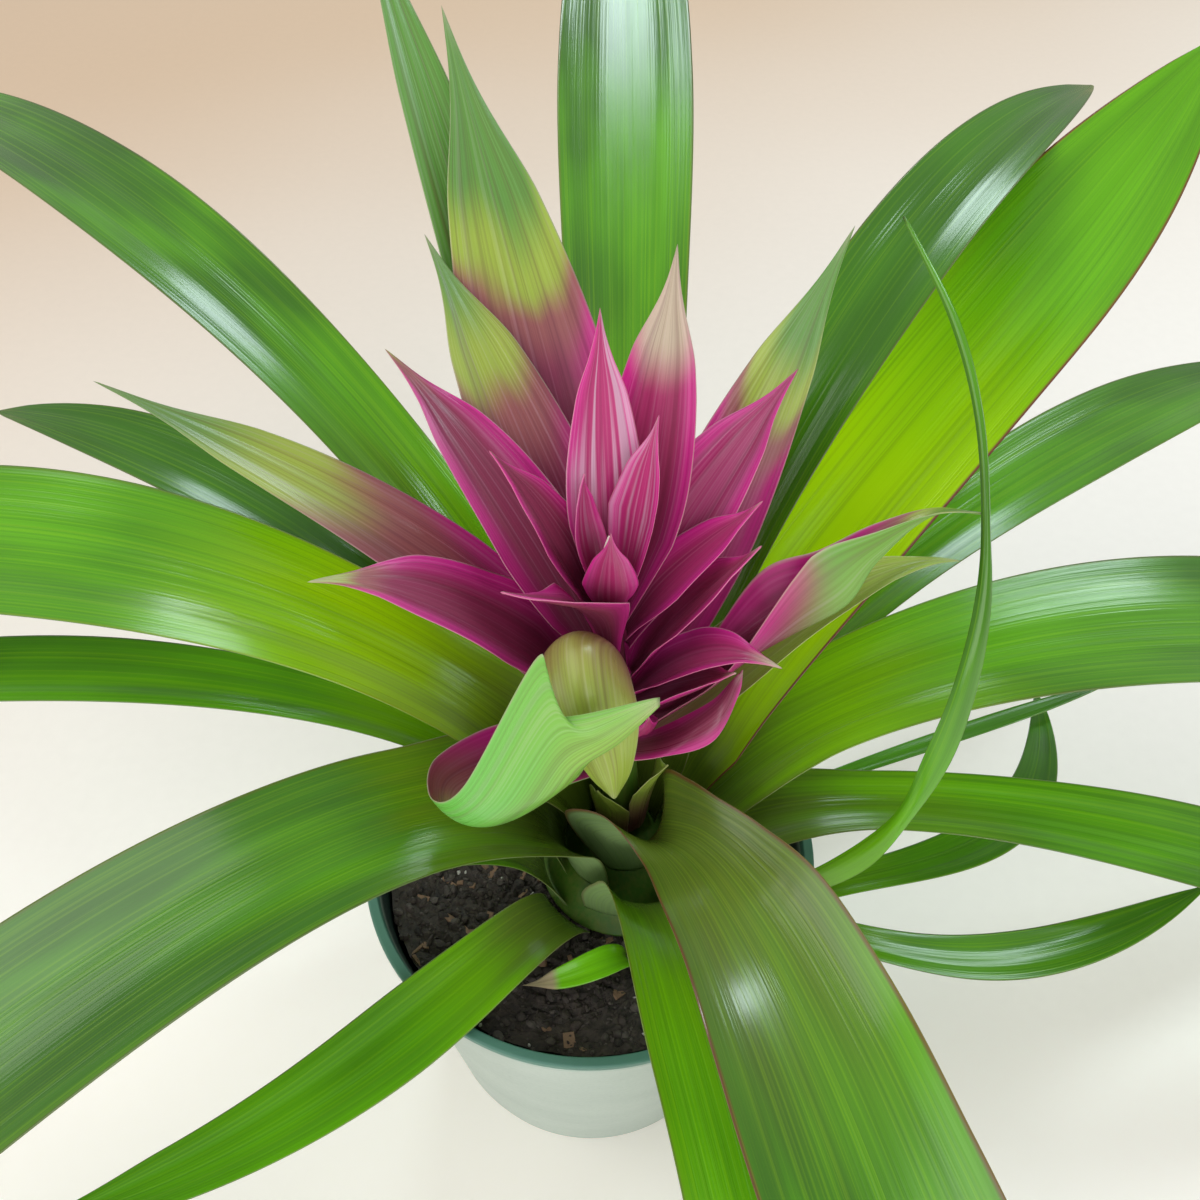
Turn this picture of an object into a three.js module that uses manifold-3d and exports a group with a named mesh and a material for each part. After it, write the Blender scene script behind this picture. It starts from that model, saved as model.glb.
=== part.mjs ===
// A guzmania in a round grower's pot: strap leaves in a rosette, a leaning flower stem clasped by
// pointed bracts, two small side shoots, potting mix and the pot.
// Millimetres, +Z up. The origin is the middle of the pot's underside, and the front faces -Y.
import * as THREE from 'three';
import { mergeVertices } from 'three/addons/utils/BufferGeometryUtils.js';
import Module from 'manifold-3d';

const wasm = await Module();
wasm.setup();

// The pot
const POT_HEIGHT = 105;
const LIP_RADIUS = 65;
const LIP_INNER_RADIUS = 62;
const LIP_DROP = 2.4;
const BAND_RADIUS = 62.6;
const BAND_DROP = 8.5;
const BODY_TOP_RADIUS = 61.2;
const BASE_RADIUS = 48;
const BASE_STEP = 1.2;
const BASE_STEP_HEIGHT = 4;
const WALL = 1.3;
const FLOOR = 2;
const POT_SIDES = 48;
const DRAIN_COUNT = 6;
const DRAIN_RADIUS = 4;
const DRAIN_RING = 30;
const DRAIN_SIDES = 12;

// What stands in it
const CLEARANCE = 0.3;
const MIX_DROP = 9;
const MIX_RELIEF = 1.1;
const MIX_SECTORS = 32;
const MIX_FLAT = 30;
const MIX_RINGS = [57, 51, 44, 37];
const ROOT_RADIUS = 10;
const ROOT_DEPTH = 45;

// The plant's axis: where it stands in the pot, and how it leans for each millimetre of height
const AXIS_X = 10;
const LEAN = -0.045;

// Leaves are laid one inside the next: each foot is a layer further in and a step higher up
const FIRST_FOOT_RADIUS = 26;
const FIRST_FOOT_HEIGHT = -8;
const LAYER = 1.15;
const LEAF_THICKNESS = 0.6;
const FACET_SAG = 0.025;
// How far a blade's halves turn up, and how far round the stem its foot reaches, both in radians
const CHANNEL = 0.35;
const NECK = 0.35;
const CLASP = 0.85;
const TIP_CHANNEL = 0.3;
const RIB_SAMPLES = 200;
const LEAF_TIP = 1;
const LEAF_STATIONS = 13;
const LEAF_STRIPS = 6;
const NARROW_WIDTH = 20;
const NARROW_STRIPS = 2;

// Bracts spiral up the flower stem
const FIRST_BRACT_HEIGHT = 46;
const BRACT_STEP = 2.5;
const FIRST_BRACT_RADIUS = 5.5;
const BRACT_TAPER = 0.1;
const STEM_TOP = 112;
const BRACT_TIP = 0.8;
const BRACT_STATIONS = 10;
const BRACT_STRIPS = 4;
const SHEATH_BRACTS = 2;
const FOLDED_STATIONS = 22;
const FOLDED_STRIPS = 6;
const SLOPE_REACH = 0.01;

// Heading in degrees from +X, then points of the midrib's curve as [out from the axis, up from the lip].
// sway is how far the tip stands to the left of its heading, roll how far the blade turns about its rib,
// neck how much narrower it is above its foot.
// A folded blade has rows of [left margin, rib, right margin] from foot to tip, as [x, y, up from the lip].
const LEAVES = [
  { name: 'low_left_leaf', heading: 228, width: 23, sway: -42, lance: true,
    rise: [40, 24], arch: [110, -22], tip: [185, 8] },
  { name: 'thin_right_leaf', heading: 17, width: 6, sway: 8,
    rise: [40, 8], arch: [100, 10], tip: [166, 5] },
  { name: 'under_left_leaf', heading: 203, width: 17,
    rise: [32, 32], arch: [75, 55], tip: [140, 30] },
  { name: 'right_low_leaf', heading: -3, width: 30,
    rise: [30, 42], arch: [120, 50], tip: [300, -58] },
  { name: 'under_front_leaf', folded: [
    [[29.3, -9.7, -3.4], [15.7, -20.7, -3.4], [-1.5, -18, -3.4]],
    [[31, -14, 12], [17, -25.5, 11], [-2, -21, 10]],
    [[35, -22, 24], [18.5, -31, 21], [1, -25, 22]],
    [[40, -36, 31], [21.5, -42, 28], [4.5, -30, 31]],
    [[45, -52, 35], [26, -58, 32], [8, -43, 34.5]],
    [[51, -73, 34], [32, -80, 31], [13, -70, 35]],
    [[57, -97, 28], [38.5, -105, 24], [20, -100, 29]],
    [[64.5, -128, 12], [46.5, -135, 9], [28, -136, 13]],
    [[73, -161, -9], [55, -167, -12], [37, -169, -9]],
    [[80, -198, -38], [64.5, -202.5, -40], [49, -205, -38]],
    [[75.5, -241.4, -76], [75, -241.6, -76], [74.5, -241.8, -76]],
  ] },
  { name: 'far_right_leaf', heading: 36, width: 31,
    rise: [28, 44], arch: [120, 97], tip: [300, 40] },
  { name: 'left_low_leaf', heading: 175, width: 21, roll: -10,
    rise: [30, 62], arch: [120, 95], tip: [270, 30] },
  { name: 'twisted_left_leaf', heading: 153, width: 24,
    rise: [30, 66], arch: [110, 115], tip: [205, 85] },
  { name: 'broad_left_leaf', heading: 207, width: 59,
    rise: [30, 90], arch: [120, 88], tip: [330, -75] },
  { name: 'broad_right_leaf', heading: 12, width: 50,
    rise: [30, 66], arch: [130, 105], tip: [300, -5] },
  { name: 'upper_right_leaf', heading: 42, width: 50, neck: 0.1,
    rise: [27, 84], arch: [130, 100], tip: [215, 172] },
  { name: 'back_left_leaf', heading: 135, width: 36,
    rise: [25, 92], arch: [170, 160], tip: [420, 85] },
  { name: 'broad_front_leaf', folded: [
    [[21.7, -2.5, 5.8], [15.8, -10.6, 5.8], [6, -11.6, 5.8]],
    [[21, -3, 25], [16, -13.5, 20], [-2, -12, 22]],
    [[20, -4, 44], [15, -18, 31], [-6, -14, 40]],
    [[26, -11, 50], [20, -23, 40], [4, -21, 48.5]],
    [[32, -18, 53], [26, -30, 45.5], [13, -32, 46]],
    [[41.5, -28, 56.5], [32, -41.5, 50], [17, -47, 53]],
    [[54, -44, 60], [40.5, -60, 51], [21.5, -63, 57]],
    [[67.5, -68.5, 56], [50.5, -84, 46], [26.5, -83, 56]],
    [[79.5, -91.5, 46], [60, -108, 36], [33, -104, 48]],
    [[94, -120, 30], [70, -135, 21], [44, -133, 32]],
    [[107, -153, 4], [84, -168, -4], [59, -168, 5]],
    [[113, -190, -29], [98, -201, -35], [79, -203, -29]],
    [[112.5, -230.5, -72], [112, -231, -72], [111.5, -231, -72]],
  ] },
  { name: 'upper_left_leaf', heading: 171, width: 52,
    rise: [24, 88], arch: [150, 152], tip: [320, 34] },
  { name: 'back_leaf', heading: 89.5, width: 47,
    rise: [25, 105], arch: [160, 110], tip: [410, 150] },
  { name: 'back_right_leaf', heading: 52, width: 28,
    rise: [27, 94], arch: [100, 174], tip: [240, 137] },
];

const BRACTS = [
  { name: 'left_sheath_bract', heading: -128, width: 20, foot: [6.9, 14],
    rise: [8.4, 28], arch: [9.6, 36], tip: [11.5, 42] },
  { name: 'right_sheath_bract', heading: -30, width: 24, foot: [6.3, 16.5],
    rise: [7.2, 30], arch: [9, 42], tip: [13, 50] },
  { name: 'front_bract', folded: [
    [[7, -5, 46], [3, -3, 46], [3, 1, 46]],
    [[4, -13, 56], [-5, -9, 53], [-7, 1, 56]],
    [[-4, -22, 65], [-17, -19, 60], [-22, -3, 63]],
    [[-8, -30, 74], [-26, -29, 68], [-36, -19, 71]],
    [[-7, -37, 84], [-23, -40, 75], [-35, -34, 77]],
    [[-2, -40, 94], [-14, -44, 90], [-26, -40, 91]],
    [[1, -42, 103], [-5, -41, 106], [-9, -33, 126]],
    [[7, -41, 108], [3, -40, 110], [-7, -37, 112]],
    [[15, -37, 115], [15, -36, 116], [15, -36, 116.6]],
  ] },
  { name: 'tall_back_bract', heading: 114, width: 22,
    rise: [50, 120], arch: [100, 160], tip: [168, 213] },
  { name: 'low_right_bract', heading: 6, width: 26,
    rise: [25, 66], arch: [52, 118], tip: [78, 110] },
  { name: 'left_bract', heading: 155, width: 24,
    rise: [25, 100], arch: [80, 112], tip: [146, 120] },
  { name: 'cupped_bract', folded: [
    [[12.6, -0.6, 56], [10.4, -4.2, 56], [6.4, -5, 56]],
    [[15, -7, 65], [13, -11, 64], [8, -14, 63]],
    [[22, -11, 76], [21, -17, 76], [18, -20, 73]],
    [[29, -12, 84], [30, -16, 85], [29, -20, 79]],
    [[33, -10, 88], [34, -10.5, 88.5], [35, -12, 86]],
    [[36, -8.5, 91.4], [36, -8.5, 91], [36, -8.5, 90.6]],
  ] },
  { name: 'right_bract', folded: [
    [[10.2, 3.6, 58.5], [12.6, 0.5, 58.5], [10.6, -4, 58.5]],
    [[19, 2.5, 65.5], [22, -1, 67], [19.5, -6, 71]],
    [[29, 3, 88], [34, -3, 86], [32, -8, 89]],
    [[39, 3, 112], [46, -6, 101], [44.5, -6, 119]],
    [[51, 2, 120], [57, -6, 111], [50, -4, 126]],
    [[63, 6, 124], [63, -2, 121], [61, 0, 127]],
    [[77, 11, 124], [76, 8, 125], [76, 7, 126]],
    [[92, 16, 117], [92, 16, 117.4], [92, 16, 117.8]],
  ] },
  { name: 'back_right_bract', heading: 52, width: 27,
    rise: [30, 92], arch: [60, 130], tip: [90, 158] },
  { name: 'back_left_bract', heading: 110, width: 38,
    rise: [35, 110], arch: [80, 150], tip: [123, 190] },
  { name: 'curled_bract', heading: -70, width: 14,
    rise: [14, 70], arch: [22, 80], tip: [20, 88] },
  { name: 'lower_left_bract', heading: 190, width: 32,
    rise: [18, 90], arch: [40, 125], tip: [66, 124] },
  { name: 'inner_low_right_bract', heading: -32, width: 21,
    rise: [14, 79], arch: [25, 94], tip: [31, 100] },
  { name: 'inner_right_bract', heading: -25, width: 20,
    rise: [14, 88], arch: [24, 106], tip: [40, 102] },
  { name: 'inner_back_left_bract', heading: 122, width: 28,
    rise: [25, 110], arch: [50, 134], tip: [85, 155] },
  { name: 'upper_low_right_bract', heading: -5, width: 22,
    rise: [12, 100], arch: [22, 112], tip: [31, 126] },
  { name: 'inner_left_bract', heading: 141, width: 25,
    rise: [19, 106], arch: [41, 132], tip: [67, 144] },
  { name: 'nodding_left_bract', heading: 245, width: 15,
    rise: [9, 92], arch: [24, 111], tip: [28, 84] },
  { name: 'nodding_bract', folded: [
    [[8, -3.5, 86], [5, -4, 86], [2.6, -2.7, 87]],
    [[8.5, -9, 95], [3.5, -9.5, 103], [-3, -8, 101]],
    [[10, -17.5, 98], [-0.5, -17.5, 112.5], [-9.5, -14.5, 103]],
    [[11.5, -26, 95], [1, -29.5, 105.5], [-7, -26, 96]],
    [[10, -32, 86], [5, -35, 89.5], [0, -32.5, 85]],
    [[6.6, -34.6, 78], [6.2, -34.9, 78], [5.8, -34.6, 78]],
  ] },
  { name: 'inner_back_right_bract', heading: 42, width: 26,
    rise: [14, 112], arch: [34, 128], tip: [56, 142] },
  { name: 'inner_front_bract', heading: 250, width: 24, sway: -16,
    rise: [6, 112], arch: [20, 124], tip: [24, 127] },
  { name: 'upper_right_bract', heading: 12, width: 18,
    rise: [12, 110], arch: [22, 118], tip: [33, 130] },
  { name: 'inner_back_bract', heading: 66, width: 24,
    rise: [14, 116], arch: [26, 137], tip: [31, 179] },
  { name: 'upper_left_bract', heading: 158, width: 18,
    rise: [10, 115], arch: [16, 130], tip: [28, 141] },
  { name: 'crown_back_bract', heading: 97, width: 19,
    rise: [12, 120], arch: [20, 148], tip: [20, 170] },
  { name: 'crown_right_bract', heading: 46, width: 16,
    rise: [7, 114], arch: [9, 132], tip: [14, 151] },
  { name: 'crown_front_bract', heading: 270, width: 14,
    rise: [8, 112], arch: [11, 122], tip: [8, 135] },
  { name: 'crown_left_bract', heading: 140, width: 10,
    rise: [7, 118], arch: [9, 130], tip: [7, 140] },
];

// Leaves of the side shoots, which stand in the potting mix by themselves
const SHOOT_LEAVES = [
  { name: 'shoot_low_leaf', at: [41, -20], heading: -25, width: 14, sway: 60,
    foot: [6, -8.4], rise: [30, 25], arch: [68, -18], tip: [118, 4] },
  { name: 'shoot_hooked_leaf', at: [41, -20], heading: 1, width: 14, sway: 75,
    foot: [4.6, -8.4], rise: [25, 34], arch: [98, -3], tip: [104, 0] },
  { name: 'shoot_strap_leaf', folded: [
    [[43.6, -17.6, -8.4], [44.4, -20.2, -8.4], [43.2, -22.8, -8.4]],
    [[50, -18, 9], [51, -20.5, 9], [51, -23, 8]],
    [[60, -21, 23], [62, -23.5, 22.5], [64, -25, 20.5]],
    [[71, -20.5, 37], [72, -23.5, 36], [73, -25.5, 33]],
    [[77.5, -20, 51], [78.5, -22, 50.7], [80, -22.6, 48.5]],
    [[81, -16, 68], [84, -17, 68], [87.5, -17, 66.5]],
    [[85, -10, 85], [87.5, -10.5, 86], [91, -9.5, 85]],
    [[88, -0.5, 102.6], [90, -1, 103.3], [92, -0.5, 102.6]],
    [[89, 11, 117], [90, 10.5, 118], [91, 11, 117]],
    [[87.5, 29, 134], [88.5, 28.5, 134.8], [89.5, 29.5, 134]],
    [[82.5, 48, 147.6], [83.6, 47.3, 148.2], [84.7, 48, 147.6]],
    [[73.4, 71, 160], [73.7, 71, 160.4], [74.1, 71, 160]],
  ] },
  { name: 'front_shoot_leaf', at: [14, -31], heading: 218, width: 9, sway: -13, lance: true,
    foot: [3, -9.1], rise: [6, 8], arch: [20, 3], tip: [31, -7] },
];

const GREEN = { color: 0x4f8f24, roughness: 0.35, metalness: 0 };
const MAGENTA = { color: 0x9a2460, roughness: 0.4, metalness: 0 };
const OLIVE = { color: 0x8c9a58, roughness: 0.5, metalness: 0 };
const CREAM = { color: 0xf2efe4, roughness: 0.5, metalness: 0 };
const EARTH = { color: 0x2f2a26, roughness: 0.95, metalness: 0 };
const PALE_PLASTIC = { color: 0xb6c1b9, roughness: 0.45, metalness: 0 };

const radians = THREE.MathUtils.degToRad;
const onAxis = (height) => [AXIS_X + LEAN * height, 0];

function smooth(from, to, x) {
  return THREE.MathUtils.smoothstep(x, from, to);
}

// Half widths along a blade, as a share of its full width: a clasping foot, a neck, then the strap.
function strapWidth(s, neck) {
  const foot = 1.15 - (0.15 + neck) * smooth(0, 0.2, s);
  const blade = foot + neck * smooth(0.16, 0.6, s);
  return blade * Math.pow(1 - Math.pow(Math.max(0, (s - 0.62) / 0.38), 2.3), 0.9);
}

function lanceWidth(s) {
  const foot = 0.8 + 0.2 * smooth(0, 0.35, s);
  return foot * (1 - Math.pow(Math.max(0, (s - 0.35) / 0.65), 1.7));
}

// One thin blade as a closed solid: a grid of sections along the midrib, each an arc round the axis.
function blade(spec, profile, steps, strips, tipWidth) {
  const heading = radians(spec.heading);
  const out = new THREE.Vector3(Math.cos(heading), Math.sin(heading), 0);
  const left = new THREE.Vector3(-Math.sin(heading), Math.cos(heading), 0);
  const middle = new THREE.Vector3(spec.at[0], spec.at[1], POT_HEIGHT);
  const place = ([away, up], aside) => {
    const rise = new THREE.Vector3(0, 0, up);
    return middle.clone().addScaledVector(out, away).addScaledVector(left, aside).add(rise);
  };
  const rib = new THREE.CubicBezierCurve3(
    place(spec.foot, 0), place(spec.rise, 0), place(spec.arch, 0), place(spec.tip, spec.sway ?? 0));
  const lengths = rib.getLengths(RIB_SAMPLES);
  const sections = [];
  for (let i = 0; i <= steps; i++) {
    const u = i / steps;
    const point = rib.getPoint(u);
    const along = rib.getTangent(u);
    const s = lengths[Math.round(u * RIB_SAMPLES)] / lengths[RIB_SAMPLES];
    const across = left.clone().addScaledVector(along, -left.dot(along)).normalize();
    const inward = along.clone().cross(across);
    const turn = radians(spec.roll ?? 0) * smooth(0.1, 0.9, s);
    const side = across.clone().applyAxisAngle(along, turn);
    const face = inward.clone().applyAxisAngle(along, turn);
    const away = point.clone().sub(middle).dot(out);
    const width = Math.max(Math.min(spec.width * profile(s, spec.neck ?? NECK), 2 * CLASP * away), tipWidth);
    const radius = Math.min(away, Math.max(width, TIP_CHANNEL * spec.width) / (2 * CHANNEL));
    sections.push({ point, side, face, radius, half: width / (2 * radius) });
  }
  const corners = [];
  for (const depth of [LEAF_THICKNESS / 2, -LEAF_THICKNESS / 2]) {
    for (const { point, side, face, radius, half } of sections) {
      for (let j = 0; j <= strips; j++) {
        const angle = half * (2 * j / strips - 1);
        const reach = radius - depth;
        const corner = point.clone().addScaledVector(side, reach * Math.sin(angle));
        corners.push(corner.addScaledVector(face, radius - reach * Math.cos(angle)));
      }
    }
  }
  return sheetGeometry(corners, steps, strips);
}

// One thin blade through its two margins and its rib, each a smooth line through the rows' places.
function foldedBlade(rows, steps, strips) {
  const lines = [0, 1, 2].map((side) => new THREE.CatmullRomCurve3(
    rows.map((row) => new THREE.Vector3(...row[side])), false, 'catmullrom', 0.5));
  const at = (u, v) => {
    const [left, rib, right] = lines.map((line) => line.getPoint(THREE.MathUtils.clamp(u, 0, 1)));
    left.multiplyScalar(v * (v + 1) / 2);
    return left.addScaledVector(rib, 1 - v * v).addScaledVector(right, v * (v - 1) / 2);
  };
  const corners = [];
  for (const depth of [LEAF_THICKNESS / 2, -LEAF_THICKNESS / 2]) {
    for (let i = 0; i <= steps; i++) {
      for (let j = 0; j <= strips; j++) {
        const u = i / steps;
        const v = 2 * j / strips - 1;
        const along = at(u + SLOPE_REACH, v).sub(at(u - SLOPE_REACH, v));
        const across = at(u, v + SLOPE_REACH).sub(at(u, v - SLOPE_REACH));
        const face = along.cross(across).normalize();
        corners.push(at(u, v).addScaledVector(face, depth).add(new THREE.Vector3(0, 0, POT_HEIGHT)));
      }
    }
  }
  return sheetGeometry(corners, steps, strips);
}

// Closes two like grids of corners, the second behind the first, into one thin body.
function sheetGeometry(corners, steps, strips) {
  const row = strips + 1;
  const sheet = row * (steps + 1);
  const faces = [];
  const quad = (a, b, c, d) => faces.push(a, b, c, a, c, d);
  for (let i = 0; i < steps; i++) {
    for (let j = 0; j < strips; j++) {
      const a = i * row + j;
      const b = sheet + a;
      quad(a, a + row, a + row + 1, a + 1);
      faces.push(b, b + row + 1, b + row, b, b + 1, b + row + 1);
    }
  }
  for (let i = 0; i < steps; i++) {
    const a = i * row;
    const b = a + strips;
    quad(a, sheet + a, sheet + a + row, a + row);
    quad(b, b + row, sheet + b + row, sheet + b);
  }
  for (let j = 0; j < strips; j++) {
    const a = j;
    const b = steps * row + j;
    quad(a, a + 1, sheet + a + 1, sheet + a);
    quad(b, sheet + b, sheet + b + 1, b + 1);
  }
  return closedGeometry(corners, faces);
}

// Faces are listed in either turn; a solid that comes out inside out has each face turned round.
function closedGeometry(corners, faces) {
  const geometry = new THREE.BufferGeometry().setFromPoints(corners);
  geometry.setIndex(faces);
  const solid = solidOf(geometry);
  if (solid.volume() > 0) return geometry;
  const flipped = [];
  for (let i = 0; i < faces.length; i += 3) flipped.push(faces[i], faces[i + 2], faces[i + 1]);
  geometry.setIndex(flipped);
  return geometry;
}

function solidOf(geometry) {
  const bare = new THREE.BufferGeometry().setAttribute('position', geometry.getAttribute('position'));
  if (geometry.index) bare.setIndex(geometry.index);
  const merged = mergeVertices(bare, 1e-3);
  return new wasm.Manifold(new wasm.Mesh({
    numProp: 3,
    vertProperties: merged.getAttribute('position').array,
    triVerts: new Uint32Array(merged.index.array),
  }));
}

function geometryOf(solid) {
  const mesh = solid.getMesh();
  const geometry = new THREE.BufferGeometry();
  geometry.setAttribute('position', new THREE.BufferAttribute(mesh.vertProperties, 3));
  geometry.setIndex(new THREE.BufferAttribute(mesh.triVerts, 1));
  return geometry;
}

// A turned body standing on Z, from [radius, height] points that start and end on the axis.
function turned(points, sides) {
  const outline = points.map(([radius, height]) => new THREE.Vector2(radius, height));
  return new THREE.LatheGeometry(outline, sides).rotateX(Math.PI / 2);
}

function pot() {
  const top = POT_HEIGHT;
  const innerBase = BASE_RADIUS - WALL;
  const shell = turned([
    [0, 0], [BASE_RADIUS, 0], [BASE_RADIUS, BASE_STEP_HEIGHT],
    [BASE_RADIUS + BASE_STEP, BASE_STEP_HEIGHT + 1],
    [BODY_TOP_RADIUS, top - BAND_DROP - 1], [BAND_RADIUS + 0.6, top - BAND_DROP],
    [BAND_RADIUS, top - BAND_DROP + 1], [BAND_RADIUS + 0.4, top - LIP_DROP - 0.8],
    [LIP_RADIUS, top - LIP_DROP], [LIP_RADIUS, top - 0.7], [LIP_RADIUS - 0.8, top],
    [LIP_INNER_RADIUS + 0.6, top], [LIP_INNER_RADIUS, top - 0.7],
    [BODY_TOP_RADIUS - WALL, top - BAND_DROP - 1], [innerBase, FLOOR], [0, FLOOR],
  ], POT_SIDES);
  let solid = solidOf(shell);
  for (let i = 0; i < DRAIN_COUNT; i++) {
    const angle = 2 * Math.PI * i / DRAIN_COUNT;
    const drill = new THREE.CylinderGeometry(DRAIN_RADIUS, DRAIN_RADIUS, 4 * FLOOR, DRAIN_SIDES);
    drill.rotateX(Math.PI / 2);
    drill.translate(DRAIN_RING * Math.cos(angle), DRAIN_RING * Math.sin(angle), FLOOR / 2);
    solid = solid.subtract(solidOf(drill));
  }
  return geometryOf(solid);
}

// The potting mix fills the pot, with an uneven top and a plain hole for the plant's root.
function pottingMix() {
  const level = POT_HEIGHT - MIX_DROP;
  const bottom = FLOOR + CLEARANCE;
  const wallAt = (z) => {
    const share = (z - FLOOR) / (POT_HEIGHT - BAND_DROP - 1 - FLOOR);
    return THREE.MathUtils.lerp(BASE_RADIUS - WALL, BODY_TOP_RADIUS - WALL, share);
  };
  const around = Math.cos(Math.PI / POT_SIDES);
  const edge = (z) => wallAt(z) * around - CLEARANCE;
  const holeBottom = POT_HEIGHT - MIX_DROP - ROOT_DEPTH - 1;
  const hole = ROOT_RADIUS + CLEARANCE;
  const rings = [
    [0, bottom, 0], [edge(bottom), bottom, 0], [edge(level), level, 0],
    ...MIX_RINGS.map((radius) => [radius, level, 1]),
    [MIX_FLAT, level, 0], [hole, level, 0], [hole, holeBottom, 0], [0, holeBottom, 0],
  ];
  const corners = [];
  rings.forEach(([radius, height, relief], ring) => {
    for (let i = 0; i < MIX_SECTORS; i++) {
      const angle = 2 * Math.PI * (i + 0.5 * (ring % 2) * relief) / MIX_SECTORS;
      const x = radius * Math.cos(angle);
      const y = radius * Math.sin(angle);
      const wave = Math.sin(0.9 * x + 1.3 * y) + Math.sin(1.7 * x - 0.8 * y);
      const bump = relief * MIX_RELIEF * (wave - 1.6);
      const inHole = ring > rings.length - 4;
      corners.push(new THREE.Vector3(x + (inHole ? onAxis(-MIX_DROP)[0] : 0), y, height + bump));
    }
  });
  const faces = [];
  for (let ring = 0; ring + 1 < rings.length; ring++) {
    for (let i = 0; i < MIX_SECTORS; i++) {
      const next = (i + 1) % MIX_SECTORS;
      const a = ring * MIX_SECTORS + i;
      const b = ring * MIX_SECTORS + next;
      const c = (ring + 1) * MIX_SECTORS + next;
      const d = (ring + 1) * MIX_SECTORS + i;
      if (rings[ring][0] > 0) faces.push(a, b, c);
      if (rings[ring + 1][0] > 0) faces.push(a, c, d);
    }
  }
  return closedGeometry(corners, faces);
}

// The short stem that the leaves sit on, running up into the flower stem.
function stem() {
  const lastLeaf = LEAVES.length - 1;
  const seat = (i) => {
    const radius = FIRST_FOOT_RADIUS - LAYER * i;
    return [radius * (1 - FACET_SAG) - LEAF_THICKNESS / 2 - CLEARANCE, FIRST_FOOT_HEIGHT + LAYER * i];
  };
  const neck = (h) => {
    const i = (h - FIRST_BRACT_HEIGHT) / BRACT_STEP;
    return FIRST_BRACT_RADIUS - BRACT_TAPER * i - LEAF_THICKNESS / 2 - 2 * CLEARANCE;
  };
  const body = turned([
    [0, -MIX_DROP - ROOT_DEPTH], [ROOT_RADIUS, -MIX_DROP - ROOT_DEPTH],
    [ROOT_RADIUS, -MIX_DROP + CLEARANCE], [seat(0)[0], -MIX_DROP + CLEARANCE],
    seat(0), seat(lastLeaf), [neck(20), seat(lastLeaf)[1] + 2], [neck(60), 60], [neck(90), 90],
    [neck(STEM_TOP), STEM_TOP], [0, STEM_TOP + 1],
  ], 20);
  const corners = body.getAttribute('position');
  for (let i = 0; i < corners.count; i++) {
    const height = Math.max(corners.getZ(i), -MIX_DROP);
    corners.setX(i, corners.getX(i) + onAxis(height)[0]);
  }
  return body.translate(0, 0, POT_HEIGHT);
}

// The one flower bud that shows between the top bracts.
function bud() {
  const shape = turned([[0, 0], [1.1, 1.2], [1.6, 4.5], [1.2, 9], [0, 13]], 10);
  return shape.translate(AXIS_X + LEAN * STEM_TOP, 0, POT_HEIGHT + STEM_TOP + 1 + CLEARANCE);
}

const plant = new THREE.Group();

function add(name, geometry, finish) {
  const mesh = new THREE.Mesh(geometry, new THREE.MeshStandardMaterial(finish));
  mesh.name = name;
  plant.add(mesh);
}

function bladeOf(spec, profile, steps, strips, tipWidth) {
  if (spec.folded) return foldedBlade(spec.folded, FOLDED_STATIONS, strips);
  return blade({ ...spec, at: spec.at ?? onAxis(spec.foot[1]) }, profile, steps, strips, tipWidth);
}

LEAVES.forEach((leaf, i) => {
  const foot = [FIRST_FOOT_RADIUS - LAYER * i, FIRST_FOOT_HEIGHT + LAYER * i];
  const profile = leaf.lance ? lanceWidth : strapWidth;
  const strips = leaf.width <= NARROW_WIDTH ? NARROW_STRIPS : LEAF_STRIPS;
  add(leaf.name, bladeOf({ ...leaf, foot }, profile, LEAF_STATIONS, strips, LEAF_TIP), GREEN);
});
BRACTS.forEach((bract, i) => {
  const step = i - SHEATH_BRACTS;
  const foot = [FIRST_BRACT_RADIUS - BRACT_TAPER * step, FIRST_BRACT_HEIGHT + BRACT_STEP * step];
  const strips = bract.folded ? FOLDED_STRIPS : BRACT_STRIPS;
  add(bract.name, bladeOf({ foot, ...bract }, lanceWidth, BRACT_STATIONS, strips, BRACT_TIP), MAGENTA);
});
for (const leaf of SHOOT_LEAVES) {
  const profile = leaf.lance ? lanceWidth : strapWidth;
  add(leaf.name, bladeOf(leaf, profile, LEAF_STATIONS, NARROW_STRIPS, LEAF_TIP), GREEN);
}
add('stem', stem(), OLIVE);
add('flower_bud', bud(), CREAM);
add('potting_mix', pottingMix(), EARTH);
add('pot', pot(), PALE_PLASTIC);

export default plant;
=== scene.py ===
"""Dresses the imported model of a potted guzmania: leaves, bracts, shoots, stem, potting mix, pot and stage."""
import math

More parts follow.
